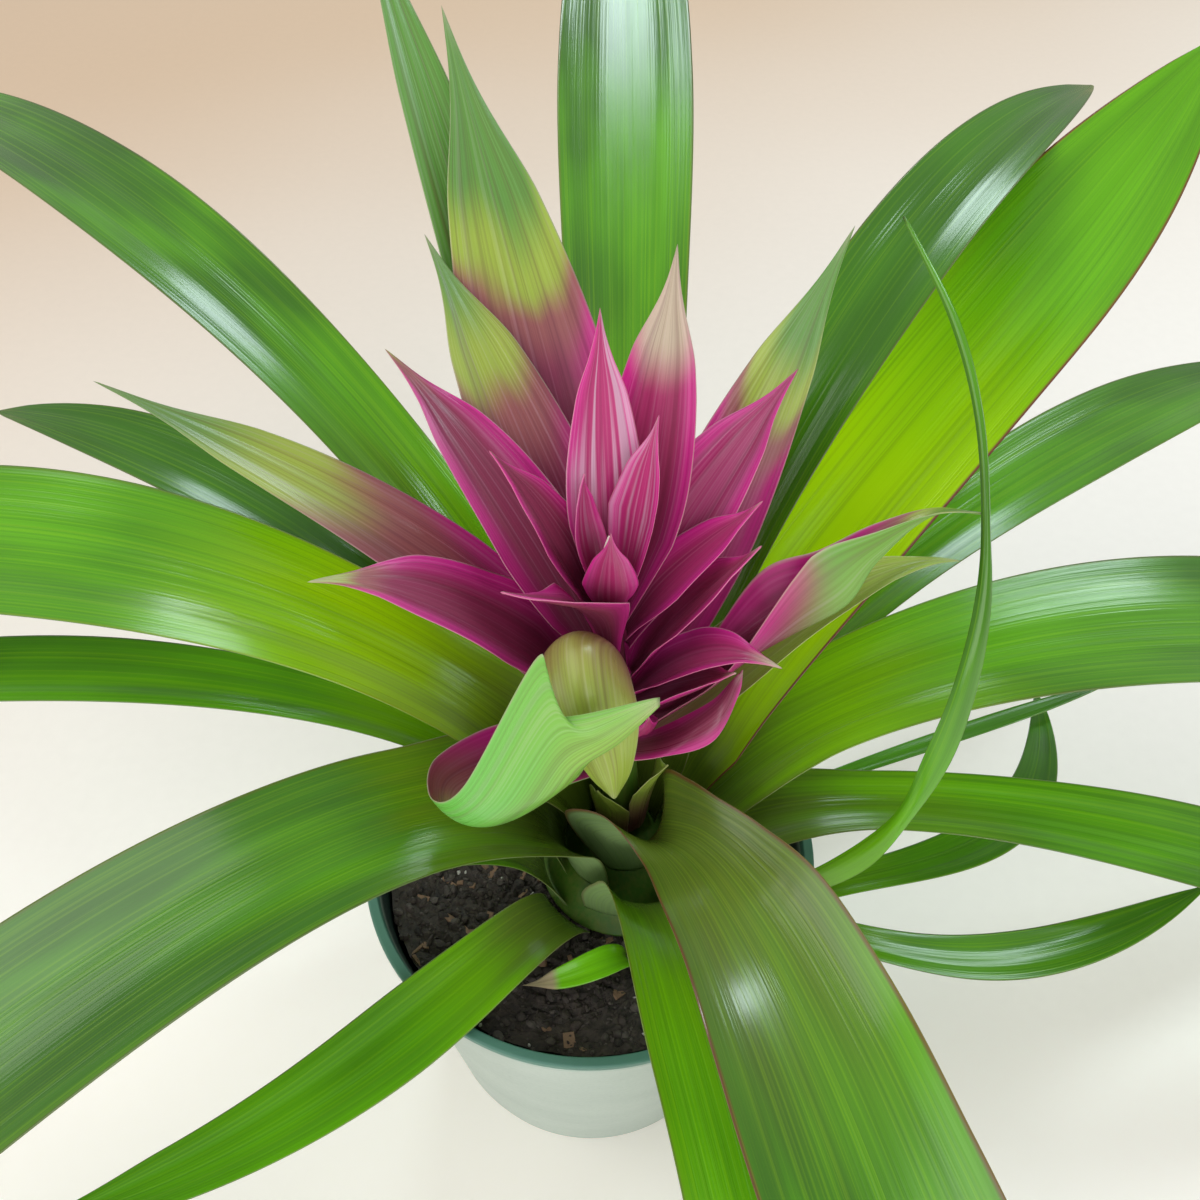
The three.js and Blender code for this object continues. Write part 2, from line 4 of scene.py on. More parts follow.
import bmesh
import bpy
import numpy as np
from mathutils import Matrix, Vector


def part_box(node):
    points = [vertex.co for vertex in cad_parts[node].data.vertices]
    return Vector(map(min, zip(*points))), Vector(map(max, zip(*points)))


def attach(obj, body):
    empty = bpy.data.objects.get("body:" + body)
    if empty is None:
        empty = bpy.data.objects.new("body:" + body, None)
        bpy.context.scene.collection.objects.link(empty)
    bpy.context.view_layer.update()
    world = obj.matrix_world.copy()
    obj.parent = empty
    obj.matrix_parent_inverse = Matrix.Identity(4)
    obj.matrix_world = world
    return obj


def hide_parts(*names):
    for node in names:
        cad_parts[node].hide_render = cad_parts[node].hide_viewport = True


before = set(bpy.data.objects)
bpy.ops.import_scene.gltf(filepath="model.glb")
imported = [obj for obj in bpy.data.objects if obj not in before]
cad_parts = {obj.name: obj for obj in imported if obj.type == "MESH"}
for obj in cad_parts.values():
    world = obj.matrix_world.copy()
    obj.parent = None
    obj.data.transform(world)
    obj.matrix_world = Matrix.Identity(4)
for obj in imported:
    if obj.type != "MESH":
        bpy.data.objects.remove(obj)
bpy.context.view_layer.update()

bl_info = {
    "name": "Potted Guzmania",
    "version": (1, 0, 0),
    "blender": (4, 5, 0),
    "location": "3D View > Sidebar > Guzmania",
    "description": "Builds a guzmania in a grower's pot around its packed model",
    "category": "Add Mesh",
}

MM = 0.001
POT_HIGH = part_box("pot")[1]
LIP_HEIGHT = POT_HIGH.z
LIP_RADIUS = POT_HIGH.x

# The plant's axis: where it stands in the pot, and how it leans for each metre of height
AXIS_X = 0.010
LEAN = -0.045

# Leaves are laid one inside the next, and bracts spiral up the stem
FIRST_FOOT = (26, -8)
LEAF_LAYER = (-1.15, 1.15)
FIRST_BRACT = (5.5, 46)
BRACT_LAYER = (-0.1, 2.5)
SHEATH_BRACTS = 2
STEM_TOP = 112

# Name, heading in degrees, full width in millimetres, then the midrib's rise, arch and tip as
# (out from the axis, up from the lip). "sway" moves the tip to the left of the heading, "roll" turns the
# blade about its rib, "lime" is where the yellow-green base ends and how strong it is, or below 0 how much
# longer the olive foot is, "neck" is how much narrower the blade is above its foot, "margin" is how red its
# edge is, and the tone lightens the whole blade, or darkens it below 0. The tone is partly the blade's own
# colour and partly painted light and shade. What a row leaves out is in USUAL.
LEAVES = [
    ("low_left_leaf", 228, 23, (40, 24), (110, -22), (185, 8), {"sway": -42, "lance": 1, "tone": 0.2}),
    ("thin_right_leaf", 17, 6, (40, 8), (100, 10), (166, 5), {"sway": 8}),
    ("under_left_leaf", 203, 17, (32, 32), (75, 55), (140, 30), {"tone": -0.1}),
    ("right_low_leaf", -3, 30, (30, 42), (120, 50), (300, -58), {}),
    ("under_front_leaf", -75, 44, None, None, None, {"tone": 0.15, "margin": 0.4}),
    ("far_right_leaf", 36, 31, (28, 44), (120, 97), (300, 40), {"tone": 0.1}),
    ("left_low_leaf", 175, 21, (30, 62), (120, 95), (270, 30), {"roll": -10, "lime": (0.3, 0.3)}),
    ("twisted_left_leaf", 153, 24, (30, 66), (110, 115), (205, 85), {"tone": -0.2}),
    ("broad_left_leaf", 207, 59, (30, 90), (120, 88), (330, -75), {"lime": (0.2, 0.3), "tone": -0.25}),
    ("broad_right_leaf", 12, 50, (30, 66), (130, 105), (300, -5), {"lime": (0.3, 0.35), "tone": 0.1}),
    ("upper_right_leaf", 42, 50, (27, 84), (130, 100), (215, 172),
     {"neck": 0.1, "lime": (0.6, 1.0), "margin": 1, "tone": 0.5}),
    ("back_left_leaf", 135, 36, (25, 92), (170, 160), (420, 85), {"tone": -0.1}),
    ("broad_front_leaf", -66, 57, None, None, None, {"lime": (0.3, -0.25), "margin": 0.8}),
    ("upper_left_leaf", 171, 52, (24, 88), (150, 152), (320, 34), {"lime": (0.35, 0.7), "tone": 0.2}),
    ("back_leaf", 89.5, 47, (25, 105), (160, 110), (410, 150), {}),
    ("back_right_leaf", 52, 28, (27, 94), (100, 174), (240, 137), {"tone": -0.3}),
]

# "flush" is where a bract's magenta ends along it and how long the change to green is, "pale" is where its
# tip turns pale, and "under" is where its outer face turns green.
# A bract's tone lightens it, partly its own colour and partly painted light, and below 0 darkens it towards
# plum as painted shade.
BRACTS = [
    ("left_sheath_bract", -128, 20, (8.4, 28), (9.6, 36), (11.5, 42),
     {"foot": (6.9, 14), "channel": 0.8, "flush": (0.3, 2.6), "tone": 0.3}),
    ("right_sheath_bract", -30, 24, (7.2, 30), (9, 42), (13, 50),
     {"foot": (6.3, 16.5), "channel": 0.8, "flush": (0.3, 2.6), "tone": 0.3}),
    ("front_bract", 215, 34, None, None, None, {"flush": (0.36, 0.45), "pale": 0.93, "under": 0.1}),
    ("tall_back_bract", 114, 22, (50, 120), (100, 160), (168, 213), {"flush": (0.1, 0.3)}),
    ("low_right_bract", 6, 26, (25, 66), (52, 118), (78, 110),
     {"channel": 0.8, "flush": (0.1, 2.2), "pale": 0.9, "under": 0.9}),
    ("left_bract", 155, 24, (25, 100), (80, 112), (146, 120), {"flush": (0.5, 0.5), "tone": -0.5}),
    ("cupped_bract", -55, 24, None, None, None, {"tone": -0.2}),
    ("right_bract", 10, 24, None, None, None,
     {"flush": (0.72, 0.3), "pale": 0.93, "under": 0.5, "tone": -0.5}),
    ("back_right_bract", 52, 27, (30, 92), (60, 130), (90, 158), {"flush": (0.60, 0.3), "tone": 0.3}),
    ("back_left_bract", 110, 38, (35, 110), (80, 150), (123, 190), {"flush": (0.58, 0.26), "tone": -0.1}),
    ("curled_bract", -70, 14, (14, 70), (22, 80), (20, 88), {"channel": 1.0, "tone": 0.4}),
    ("lower_left_bract", 190, 32, (18, 90), (40, 125), (66, 124),
     {"channel": 0.5, "flush": (0.88, 0.3), "pale": 0.86, "tone": 0.1}),
    ("inner_low_right_bract", -32, 21, (14, 79), (25, 94), (31, 100), {"channel": 0.8, "pale": 0.85}),
    ("inner_right_bract", -25, 20, (14, 88), (24, 106), (40, 102),
     {"channel": 0.6, "pale": 0.82, "tone": 0.3}),
    ("inner_back_left_bract", 122, 28, (25, 110), (50, 134), (85, 155), {"flush": (0.60, 0.5), "tone": -0.3}),
    ("upper_low_right_bract", -5, 22, (12, 100), (22, 112), (31, 126), {"channel": 0.6, "pale": 0.9}),
    ("inner_left_bract", 141, 25, (19, 106), (41, 132), (67, 144),
     {"channel": 0.5, "flush": (0.95, 0.35), "pale": 0.95, "tone": -0.3}),
    ("nodding_left_bract", 245, 15, (9, 92), (24, 111), (28, 84), {"channel": 0.9, "tone": -0.6}),
    ("nodding_bract", 265, 22, None, None, None, {"flush": (0.3, 2.0), "under": 0.9, "tone": -0.2}),
    ("inner_back_right_bract", 42, 26, (14, 112), (34, 128), (56, 142),
     {"channel": 0.5, "pale": 0.94, "tone": 0.6}),
    ("inner_front_bract", 250, 24, (6, 112), (20, 124), (24, 127), {"sway": -16, "tone": -0.3}),
    ("upper_right_bract", 12, 18, (12, 110), (22, 118), (33, 130), {"channel": 0.6, "tone": 0.5}),
    ("inner_back_bract", 66, 24, (14, 116), (26, 137), (31, 179), {"pale": 0.62, "tone": 0.4}),
    ("upper_left_bract", 158, 18, (10, 115), (16, 130), (28, 141), {"channel": 0.6, "tone": 0.1}),
    ("crown_back_bract", 97, 19, (12, 120), (20, 148), (20, 170), {"channel": 0.6, "tone": 1.3}),
    ("crown_right_bract", 46, 16, (7, 114), (9, 132), (14, 151), {"channel": 0.6, "tone": 1.0}),
    ("crown_front_bract", 270, 14, (8, 112), (11, 122), (8, 135), {"channel": 0.8, "tone": 0.6}),
    ("crown_left_bract", 140, 10, (7, 118), (9, 130), (7, 140), {"channel": 0.6, "tone": 0.8}),
]

# Blades that fold too freely for a heading and a curve: from foot to tip, rows of (left margin, rib, right
# margin), each a place (x, y, up from the lip) in millimetres
FOLDED_BLADES = {
    "under_front_leaf": [
        ((29.3, -9.7, -3.4), (15.7, -20.7, -3.4), (-1.5, -18, -3.4)),
        ((31, -14, 12), (17, -25.5, 11), (-2, -21, 10)),
        ((35, -22, 24), (18.5, -31, 21), (1, -25, 22)),
        ((40, -36, 31), (21.5, -42, 28), (4.5, -30, 31)),
        ((45, -52, 35), (26, -58, 32), (8, -43, 34.5)),
        ((51, -73, 34), (32, -80, 31), (13, -70, 35)),
        ((57, -97, 28), (38.5, -105, 24), (20, -100, 29)),
        ((64.5, -128, 12), (46.5, -135, 9), (28, -136, 13)),
        ((73, -161, -9), (55, -167, -12), (37, -169, -9)),
        ((80, -198, -38), (64.5, -202.5, -40), (49, -205, -38)),
        ((75.5, -241.4, -76), (75, -241.6, -76), (74.5, -241.8, -76)),
    ],
    "broad_front_leaf": [
        ((21.7, -2.5, 5.8), (15.8, -10.6, 5.8), (6, -11.6, 5.8)),
        ((21, -3, 25), (16, -13.5, 20), (-2, -12, 22)),
        ((20, -4, 44), (15, -18, 31), (-6, -14, 40)),
        ((26, -11, 50), (20, -23, 40), (4, -21, 48.5)),
        ((32, -18, 53), (26, -30, 45.5), (13, -32, 46)),
        ((41.5, -28, 56.5), (32, -41.5, 50), (17, -47, 53)),
        ((54, -44, 60), (40.5, -60, 51), (21.5, -63, 57)),
        ((67.5, -68.5, 56), (50.5, -84, 46), (26.5, -83, 56)),
        ((79.5, -91.5, 46), (60, -108, 36), (33, -104, 48)),
        ((94, -120, 30), (70, -135, 21), (44, -133, 32)),
        ((107, -153, 4), (84, -168, -4), (59, -168, 5)),
        ((113, -190, -29), (98, -201, -35), (79, -203, -29)),
        ((112.5, -230.5, -72), (112, -231, -72), (111.5, -231, -72)),
    ],
    "front_bract": [
        ((7, -5, 46), (3, -3, 46), (3, 1, 46)),
        ((4, -13, 56), (-5, -9, 53), (-7, 1, 56)),
        ((-4, -22, 65), (-17, -19, 60), (-22, -3, 63)),
        ((-8, -30, 74), (-26, -29, 68), (-36, -19, 71)),
        ((-7, -37, 84), (-23, -40, 75), (-35, -34, 77)),
        ((-2, -40, 94), (-14, -44, 90), (-26, -40, 91)),
        ((1, -42, 103), (-5, -41, 106), (-9, -33, 126)),
        ((7, -41, 108), (3, -40, 110), (-7, -37, 112)),
        ((15, -37, 115), (15, -36, 116), (15, -36, 116.6)),
    ],
    "cupped_bract": [
        ((12.6, -0.6, 56), (10.4, -4.2, 56), (6.4, -5, 56)),
        ((15, -7, 65), (13, -11, 64), (8, -14, 63)),
        ((22, -11, 76), (21, -17, 76), (18, -20, 73)),
        ((29, -12, 84), (30, -16, 85), (29, -20, 79)),
        ((33, -10, 88), (34, -10.5, 88.5), (35, -12, 86)),
        ((36, -8.5, 91.4), (36, -8.5, 91), (36, -8.5, 90.6)),
    ],
    "right_bract": [
        ((10.2, 3.6, 58.5), (12.6, 0.5, 58.5), (10.6, -4, 58.5)),
        ((19, 2.5, 65.5), (22, -1, 67), (19.5, -6, 71)),
        ((29, 3, 88), (34, -3, 86), (32, -8, 89)),
        ((39, 3, 112), (46, -6, 101), (44.5, -6, 119)),
        ((51, 2, 120), (57, -6, 111), (50, -4, 126)),
        ((63, 6, 124), (63, -2, 121), (61, 0, 127)),
        ((77, 11, 124), (76, 8, 125), (76, 7, 126)),
        ((92, 16, 117), (92, 16, 117.4), (92, 16, 117.8)),
    ],
    "nodding_bract": [
        ((8, -3.5, 86), (5, -4, 86), (2.6, -2.7, 87)),
        ((8.5, -9, 95), (3.5, -9.5, 103), (-3, -8, 101)),
        ((10, -17.5, 98), (-0.5, -17.5, 112.5), (-9.5, -14.5, 103)),
        ((11.5, -26, 95), (1, -29.5, 105.5), (-7, -26, 96)),
        ((10, -32, 86), (5, -35, 89.5), (0, -32.5, 85)),
        ((6.6, -34.6, 78), (6.2, -34.9, 78), (5.8, -34.6, 78)),
    ],
    "shoot_strap_leaf": [
        ((43.6, -17.6, -8.4), (44.4, -20.2, -8.4), (43.2, -22.8, -8.4)),
        ((50, -18, 9), (51, -20.5, 9), (51, -23, 8)),
        ((60, -21, 23), (62, -23.5, 22.5), (64, -25, 20.5)),
        ((71, -20.5, 37), (72, -23.5, 36), (73, -25.5, 33)),
        ((77.5, -20, 51), (78.5, -22, 50.7), (80, -22.6, 48.5)),
        ((81, -16, 68), (84, -17, 68), (87.5, -17, 66.5)),
        ((85, -10, 85), (87.5, -10.5, 86), (91, -9.5, 85)),
        ((88, -0.5, 102.6), (90, -1, 103.3), (92, -0.5, 102.6)),
        ((89, 11, 117), (90, 10.5, 118), (91, 11, 117)),
        ((87.5, 29, 134), (88.5, 28.5, 134.8), (89.5, 29.5, 134)),
        ((82.5, 48, 147.6), (83.6, 47.3, 148.2), (84.7, 48, 147.6)),
        ((73.4, 71, 160), (73.7, 71, 160.4), (74.1, 71, 160)),
    ],
}

# Leaves of the side shoots: as above, with the shoot's place in the pot and the foot's own place
SHOOT_LEAVES = [
    ("shoot_low_leaf", -25, 14, (30, 25), (68, -18), (118, 4),
     {"sway": 60, "at": (41, -20), "foot": (6, -8.4)}),
    ("shoot_hooked_leaf", 1, 14, (25, 34), (98, -3), (104, 0),
     {"sway": 75, "at": (41, -20), "foot": (4.6, -8.4)}),
    ("shoot_strap_leaf", -4, 7, None, None, None, {"tone": 0.1}),
    ("front_shoot_leaf", 218, 9, (6, 8), (20, 3), (31, -7),
     {"sway": -13, "lance": 1, "at": (14, -31), "foot": (3, -9.1), "tone": 0.9, "dry": 0.68}),
]


# Node trees read as arithmetic

def is_vector(value):
    return isinstance(value, tuple) or isinstance(value, Wire) and value.socket.type == "VECTOR"


class Wire:
    """A socket with arithmetic: numbers add Math nodes, and vectors add Vector Math nodes."""

    def __init__(self, graph, socket):
        self.graph = graph
        self.socket = socket

    def __getitem__(self, output):
        """Another output of the same node, by name or number."""
        return Wire(self.graph, self.socket.node.outputs[output])

    def maths(self, operation, *values):
        kind, sockets = "ShaderNodeMath", dict(enumerate(values))
        vectors = [is_vector(value) for value in values]
        if any(vectors):
            kind = "ShaderNodeVectorMath"
        if any(vectors) and operation == "MULTIPLY" and not all(vectors):
            operation = "SCALE"
            vector, number = values if vectors[0] else values[::-1]
            sockets = {0: vector, "Scale": number}
        return self.graph.node(kind, {"operation": operation}, sockets)

    def __add__(self, other):
        return self.maths("ADD", self, other)

    def __radd__(self, other):
        return self.maths("ADD", other, self)

    def __sub__(self, other):
        return self.maths("SUBTRACT", self, other)

    def __rsub__(self, other):
        return self.maths("SUBTRACT", other, self)

    def __mul__(self, other):
        return self.maths("MULTIPLY", self, other)

    def __rmul__(self, other):
        return self.maths("MULTIPLY", other, self)

    def __truediv__(self, other):
        return self.maths("DIVIDE", self, other)

    def __pow__(self, other):
        return self.maths("POWER", self, other)

    def __neg__(self):
        return self.maths("MULTIPLY", self, -1.0)

    def __abs__(self):
        return self.maths("ABSOLUTE", self)


class Graph:
    """Adds nodes to one tree."""

    def __init__(self, tree):
        self.tree = tree

    def feed(self, made, sockets):
        """Sets or links a node's sockets, by name or number. A list's wires all go to the one socket."""
        for key, value in sockets.items():
            for item in value if isinstance(value, list) else [value]:
                if isinstance(item, Wire):
                    self.tree.links.new(item.socket, made.inputs[key])
                else:
                    made.inputs[key].default_value = item

    def node(self, kind, settings=None, sockets=None):
        """One node: its settings first, then its sockets. It gives the wire of its first output."""
        made = self.tree.nodes.new(kind)
        for name, value in (settings or {}).items():
            setattr(made, name, value)
        self.feed(made, sockets or {})
        return Wire(self, made.outputs[0]) if made.outputs else None

    def split(self, vector):
        made = self.node("ShaderNodeSeparateXYZ", None, {0: vector})
        return [made[i] for i in range(3)]

    def join(self, x, y, z):
        return self.node("ShaderNodeCombineXYZ", None, {0: x, 1: y, 2: z})

    def smooth(self, low, high, value):
        """0 below low and 1 above high, or the other way round where high is the lower one."""
        ends = {"Value": value, "From Min": low, "From Max": high}
        return self.node("ShaderNodeMapRange", {"interpolation_type": "SMOOTHSTEP"}, ends)

    def most(self, a, b):
        return a.maths("MAXIMUM", a, b)

    def least(self, a, b):
        return a.maths("MINIMUM", a, b)

    def sine(self, angle):
        return angle.maths("SINE", angle)

    def cosine(self, angle):
        return angle.maths("COSINE", angle)

    def noise(self, place, scale=1.0, detail=2.0, roughness=0.5):
        """Soft noise about 0, from -0.5 to 0.5."""
        sockets = {"Vector": place, "Scale": scale, "Detail": detail, "Roughness": roughness}
        return self.node("ShaderNodeTexNoise", None, sockets) - 0.5

    def mix(self, share, a, b):
        """Colour a, and b where share is 1."""
        a, b = (value if isinstance(value, Wire) else (*value[:3], 1.0) for value in (a, b))
        settings = {"data_type": "RGBA", "clamp_factor": True}
        return self.node("ShaderNodeMix", settings, {0: share, 6: a, 7: b})[2]

    def layers(self, colour, *layers):
        """A colour under layers of others, each given as its share and its colour."""
        for share, other in layers:
            colour = self.mix(share, colour, other)
        return colour

    def attribute(self, name):
        return self.split(self.node("ShaderNodeAttribute", {"attribute_name": name})["Vector"])


def linear(red, green, blue):
    """A display colour, 0 to 255, as Blender's linear one."""
    values = [channel / 255 for channel in (red, green, blue)]
    return tuple(v / 12.92 if v <= 0.04045 else ((v + 0.055) / 1.055) ** 2.4 for v in values)


class Inks:
    """The colours of a settings group, as linear ones."""

    def __init__(self, settings):
        self.settings = settings

    def __getattr__(self, name):
        return linear(*getattr(self.settings, name))


SOCKETS = {
    "length": ("NodeSocketFloat", "DISTANCE"),
    "angle": ("NodeSocketFloat", "ANGLE"),
    "share": ("NodeSocketFloat", "FACTOR"),
    "number": ("NodeSocketFloat", "NONE"),
    "place": ("NodeSocketVector", "TRANSLATION"),
    "vector": ("NodeSocketVector", "NONE"),
    "count": ("NodeSocketInt", "NONE"),
    "material": ("NodeSocketMaterial", None),
    "mesh": ("NodeSocketGeometry", None),
}


def geometry_tree(name, inputs):
    """A new Geometry Nodes tree, its builder and its named inputs as wires."""
    tree = bpy.data.node_groups.new(name, "GeometryNodeTree")
    for label, kind in inputs.items():
        socket_type, subtype = SOCKETS[kind]
        socket = tree.interface.new_socket(name=label, in_out="INPUT", socket_type=socket_type)
        if subtype:
            socket.subtype = subtype
    tree.interface.new_socket(name="Mesh", in_out="OUTPUT", socket_type="NodeSocketGeometry")
    graph = Graph(tree)
    source = graph.node("NodeGroupInput")
    return graph, {label: source[label] for label in inputs}


def stored(graph, mesh, label, value, kind="FLOAT_VECTOR", domain="POINT"):
    """The mesh with a value kept on it as a named attribute."""
    sockets = {"Geometry": mesh, "Name": label, "Value": value}
    return graph.node("GeometryNodeStoreNamedAttribute", {"data_type": kind, "domain": domain}, sockets)


def finish_tree(graph, mesh, material):
    real = graph.node("GeometryNodeRealizeInstances", None, {"Geometry": mesh})
    painted = graph.node("GeometryNodeSetMaterial", None, {"Geometry": real, "Material": material})
    graph.node("NodeGroupOutput", None, {"Mesh": painted})


def linked(name, mesh):
    """A new object in the scene."""
    piece = bpy.data.objects.new(name, mesh)
    bpy.context.scene.collection.objects.link(piece)
    return piece


def applied(piece):
    """The piece with its modifiers made into plain mesh."""
    depsgraph = bpy.context.evaluated_depsgraph_get()
    shaped = piece.evaluated_get(depsgraph)
    result = bpy.data.meshes.new_from_object(shaped, preserve_all_data_layers=True, depsgraph=depsgraph)
    piece.modifiers.clear()
    piece.data = result
    result.name = piece.name
    return piece


def made_by(tree, name, values, mesh=None):
    """An object whose mesh is what the tree makes of these inputs."""
    piece = linked(name, mesh or bpy.data.meshes.new(name))
    modifier = piece.modifiers.new("Shape", "NODES")
    modifier.node_group = tree
    for socket in tree.interface.items_tree:
        if socket.name in values:
            modifier[socket.identifier] = values[socket.name]
    return applied(piece)


def stand_for(piece, node):
    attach(piece, "root")
    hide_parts(node)


# Blades

# What a row has where it gives nothing else. Changes at 1.2 and 1.6 lie past the tip, so they don't show.
USUAL = {
    "lime": (0.3, 0.15), "dry": 1.2, "margin": 0.3, "flush": (1.6, 0.2), "pale": 0.92, "under": 1.6,
    "tone": 0.0, "channel": 0.35, "neck": 0.35, "roll": 0, "sway": 0, "at": None,
}

# Shares of a blade's width or thickness
CLASP = 0.85
TIP_CHANNEL = 0.3
EDGE_CROWDING = 0.7
EDGE_THINNING = 0.6
RUFFLE = 0.012
PLEAT = 0.006

RUFFLE_WAVES = 2.2
PLEATS = 3
WIDEST_PLEATED = 30
POINT = 0.04 * MM
WELD = 0.002 * MM
RIB_POINTS = 220
FEWEST_STRIPS = 14
STRIPS_PER_MM = 0.45
FOLDED_STATIONS = 120
FOLDED_STRIPS = 33
SEEDS = 97
PHASE_STEP = 0.7

BLADE_INPUTS = {
    "Middle": "place", "Heading": "angle", "Foot": "place", "Rise": "place", "Arch": "place", "Tip": "place",
    "Width": "length", "Neck": "share", "Lance": "share", "Roll": "angle", "Channel": "angle",
    "Thickness": "length", "Point": "length", "Pleat": "length", "Pleats": "number", "Ruffle": "length",
    "Waves": "number", "Phase": "angle", "Zones": "vector", "Tone": "vector", "Strips": "count",
    "Stations": "count", "Material": "material",
}


def blade_tree():
    """A thin blade: sections along a curved rib, each an arc that opens upwards, with a face either side.

    Its outline and its waves are worked out from shares of its length and of its half width.
    """
    graph, given = geometry_tree("Blade", BLADE_INPUTS)
    counts = {"Size X": 1.0, "Size Y": 1.0, "Vertices X": given["Strips"], "Vertices Y": given["Stations"]}
    grid = graph.node("GeometryNodeMeshGrid", None, counts)
    grid_x, grid_y, _ = graph.split(graph.node("GeometryNodeInputPosition"))
    lane = grid_x * 2.0
    across = lane + (graph.sine(lane * (math.pi / 2)) - lane) * EDGE_CROWDING
    along = grid_y + 0.5

    ends = {"Resolution": RIB_POINTS, "Start": given["Foot"], "Start Handle": given["Rise"],
            "End Handle": given["Arch"], "End": given["Tip"]}
    rib = graph.node("GeometryNodeCurvePrimitiveBezierSegment", {"mode": "POSITION"}, ends)
    sample = graph.node("GeometryNodeSampleCurve", {"mode": "FACTOR"}, {"Curves": rib, "Factor": along})
    point, tangent = sample["Position"], sample["Tangent"]
    length = graph.node("GeometryNodeCurveLength", None, {0: rib})

    away, _, _ = graph.split(point)
    _, tangent_left, _ = graph.split(tangent)
    level = (0.0, 1.0, 0.0) - tangent * tangent_left
    level = level.maths("NORMALIZE", level)
    inward = tangent.maths("CROSS_PRODUCT", tangent, level)
    turn = given["Roll"] * graph.smooth(0.1, 0.9, along)
    side = level * graph.cosine(turn) + inward * graph.sine(turn)
    face = inward * graph.cosine(turn) - level * graph.sine(turn)

    strap_foot = 1.15 - (given["Neck"] + 0.15) * graph.smooth(0.0, 0.2, along)
    strap_foot = strap_foot + given["Neck"] * graph.smooth(0.16, 0.6, along)
    strap_end = graph.most((along - 0.62) / 0.38, 0.0) ** 2.3
    strap = strap_foot * graph.most(1.0 - strap_end, 0.0) ** 0.9
    lance_foot = 0.8 + 0.2 * graph.smooth(0.0, 0.35, along)
    lance_end = graph.most((along - 0.35) / 0.65, 0.0) ** 1.7
    drawn_out = 1.0 - 0.5 * graph.smooth(0.72, 0.96, along)
    lance = lance_foot * (1.0 - lance_end) * drawn_out
    share = strap + (lance - strap) * given["Lance"]
    width = graph.most(graph.least(given["Width"] * share, away * (2 * CLASP)), given["Point"])
    bend = graph.most(width, given["Width"] * TIP_CHANNEL) / (2.0 * given["Channel"])
    radius = graph.least(away, bend)
    angle = width / (radius * 2.0) * across

    reach = abs(across)
    body = graph.smooth(0.0, 0.2, along) * graph.smooth(1.0, 0.8, along)
    wave = graph.sine(along * given["Waves"] + given["Phase"] + across * 1.4)
    lift = given["Ruffle"] * reach ** 3.0 * wave * body
    lift = lift + given["Pleat"] * graph.cosine(across * given["Pleats"]) * body
    closing = graph.smooth(0.0, 0.005, along) * graph.smooth(1.0, 0.992, along)
    rim = graph.smooth(1.0, 0.99, reach)
    half_thickness = given["Thickness"] * 0.5 * (1.0 - EDGE_THINNING * reach ** 2.0) * closing * rim

    sheets = []
    for upper in (1.0, 0.0):
        depth = half_thickness * (2.0 * upper - 1.0)
        arc = radius - depth
        place = point + side * (arc * graph.sine(angle))
        place = place + face * (radius - arc * graph.cosine(angle) + lift)
        named = stored(graph, grid, "blade", graph.join(along, across, upper))
        named = stored(graph, named, "zones", given["Zones"])
        named = stored(graph, named, "tone", given["Tone"])
        flat = graph.join(across * given["Width"] * 0.5, along * length, 0.0)
        named = stored(graph, named, "UVMap", flat, "FLOAT2", "CORNER")
        sheet = graph.node("GeometryNodeSetPosition", None, {"Geometry": named, "Position": place})
        sheets.append(graph.node("GeometryNodeFlipFaces", None, {"Mesh": sheet}) if upper else sheet)
    joined = graph.node("GeometryNodeJoinGeometry", None, {0: sheets})
    closed = graph.node("GeometryNodeMergeByDistance", None, {"Geometry": joined, "Distance": WELD})
    soft = graph.node("GeometryNodeSetShadeSmooth", None, {"Geometry": closed})
    sockets = {"Geometry": soft, "Translation": given["Middle"],
               "Rotation": graph.join(0.0, 0.0, given["Heading"])}
    placed = graph.node("GeometryNodeTransform", {"mode": "COMPONENTS"}, sockets)
    finish_tree(graph, placed, given["Material"])
    return graph.tree


def on_axis(height):
    """The plant's axis at a height above the lip, in metres."""
    return AXIS_X + LEAN * height * MM


def marks(row, slot):
    """A blade's zones and tone. Its random phase comes from its own name, so it never changes."""
    node, more = row[0], {**USUAL, **row[-1]}
    seed = sum(ord(letter) * (i + 1) for i, letter in enumerate(node)) % SEEDS
    change, end, share = ("lime", "dry", "margin") if slot == "leaf" else ("flush", "pale", "under")
    return (*more[change], more[end]), (more["tone"], more[share], float(seed))


def line_through(places, shares):
    """A smooth line through evenly timed places, at shares from 0 to 1 along it."""
    places = np.array(places, float)
    timed = np.clip(shares * (len(places) - 1), 0, len(places) - 1 - 1e-9)
    first = timed.astype(int)
    t = (timed - first)[:, None]
    padded = np.vstack([2 * places[0] - places[1], places, 2 * places[-1] - places[-2]])
    a, b, c, d = (padded[first + i] for i in range(4))
    bend, twist = a - 2.5 * b + 2 * c - d / 2, 1.5 * (b - c) + (d - a) / 2
    return b + t * (c - a) / 2 + t ** 2 * bend + t ** 3 * twist


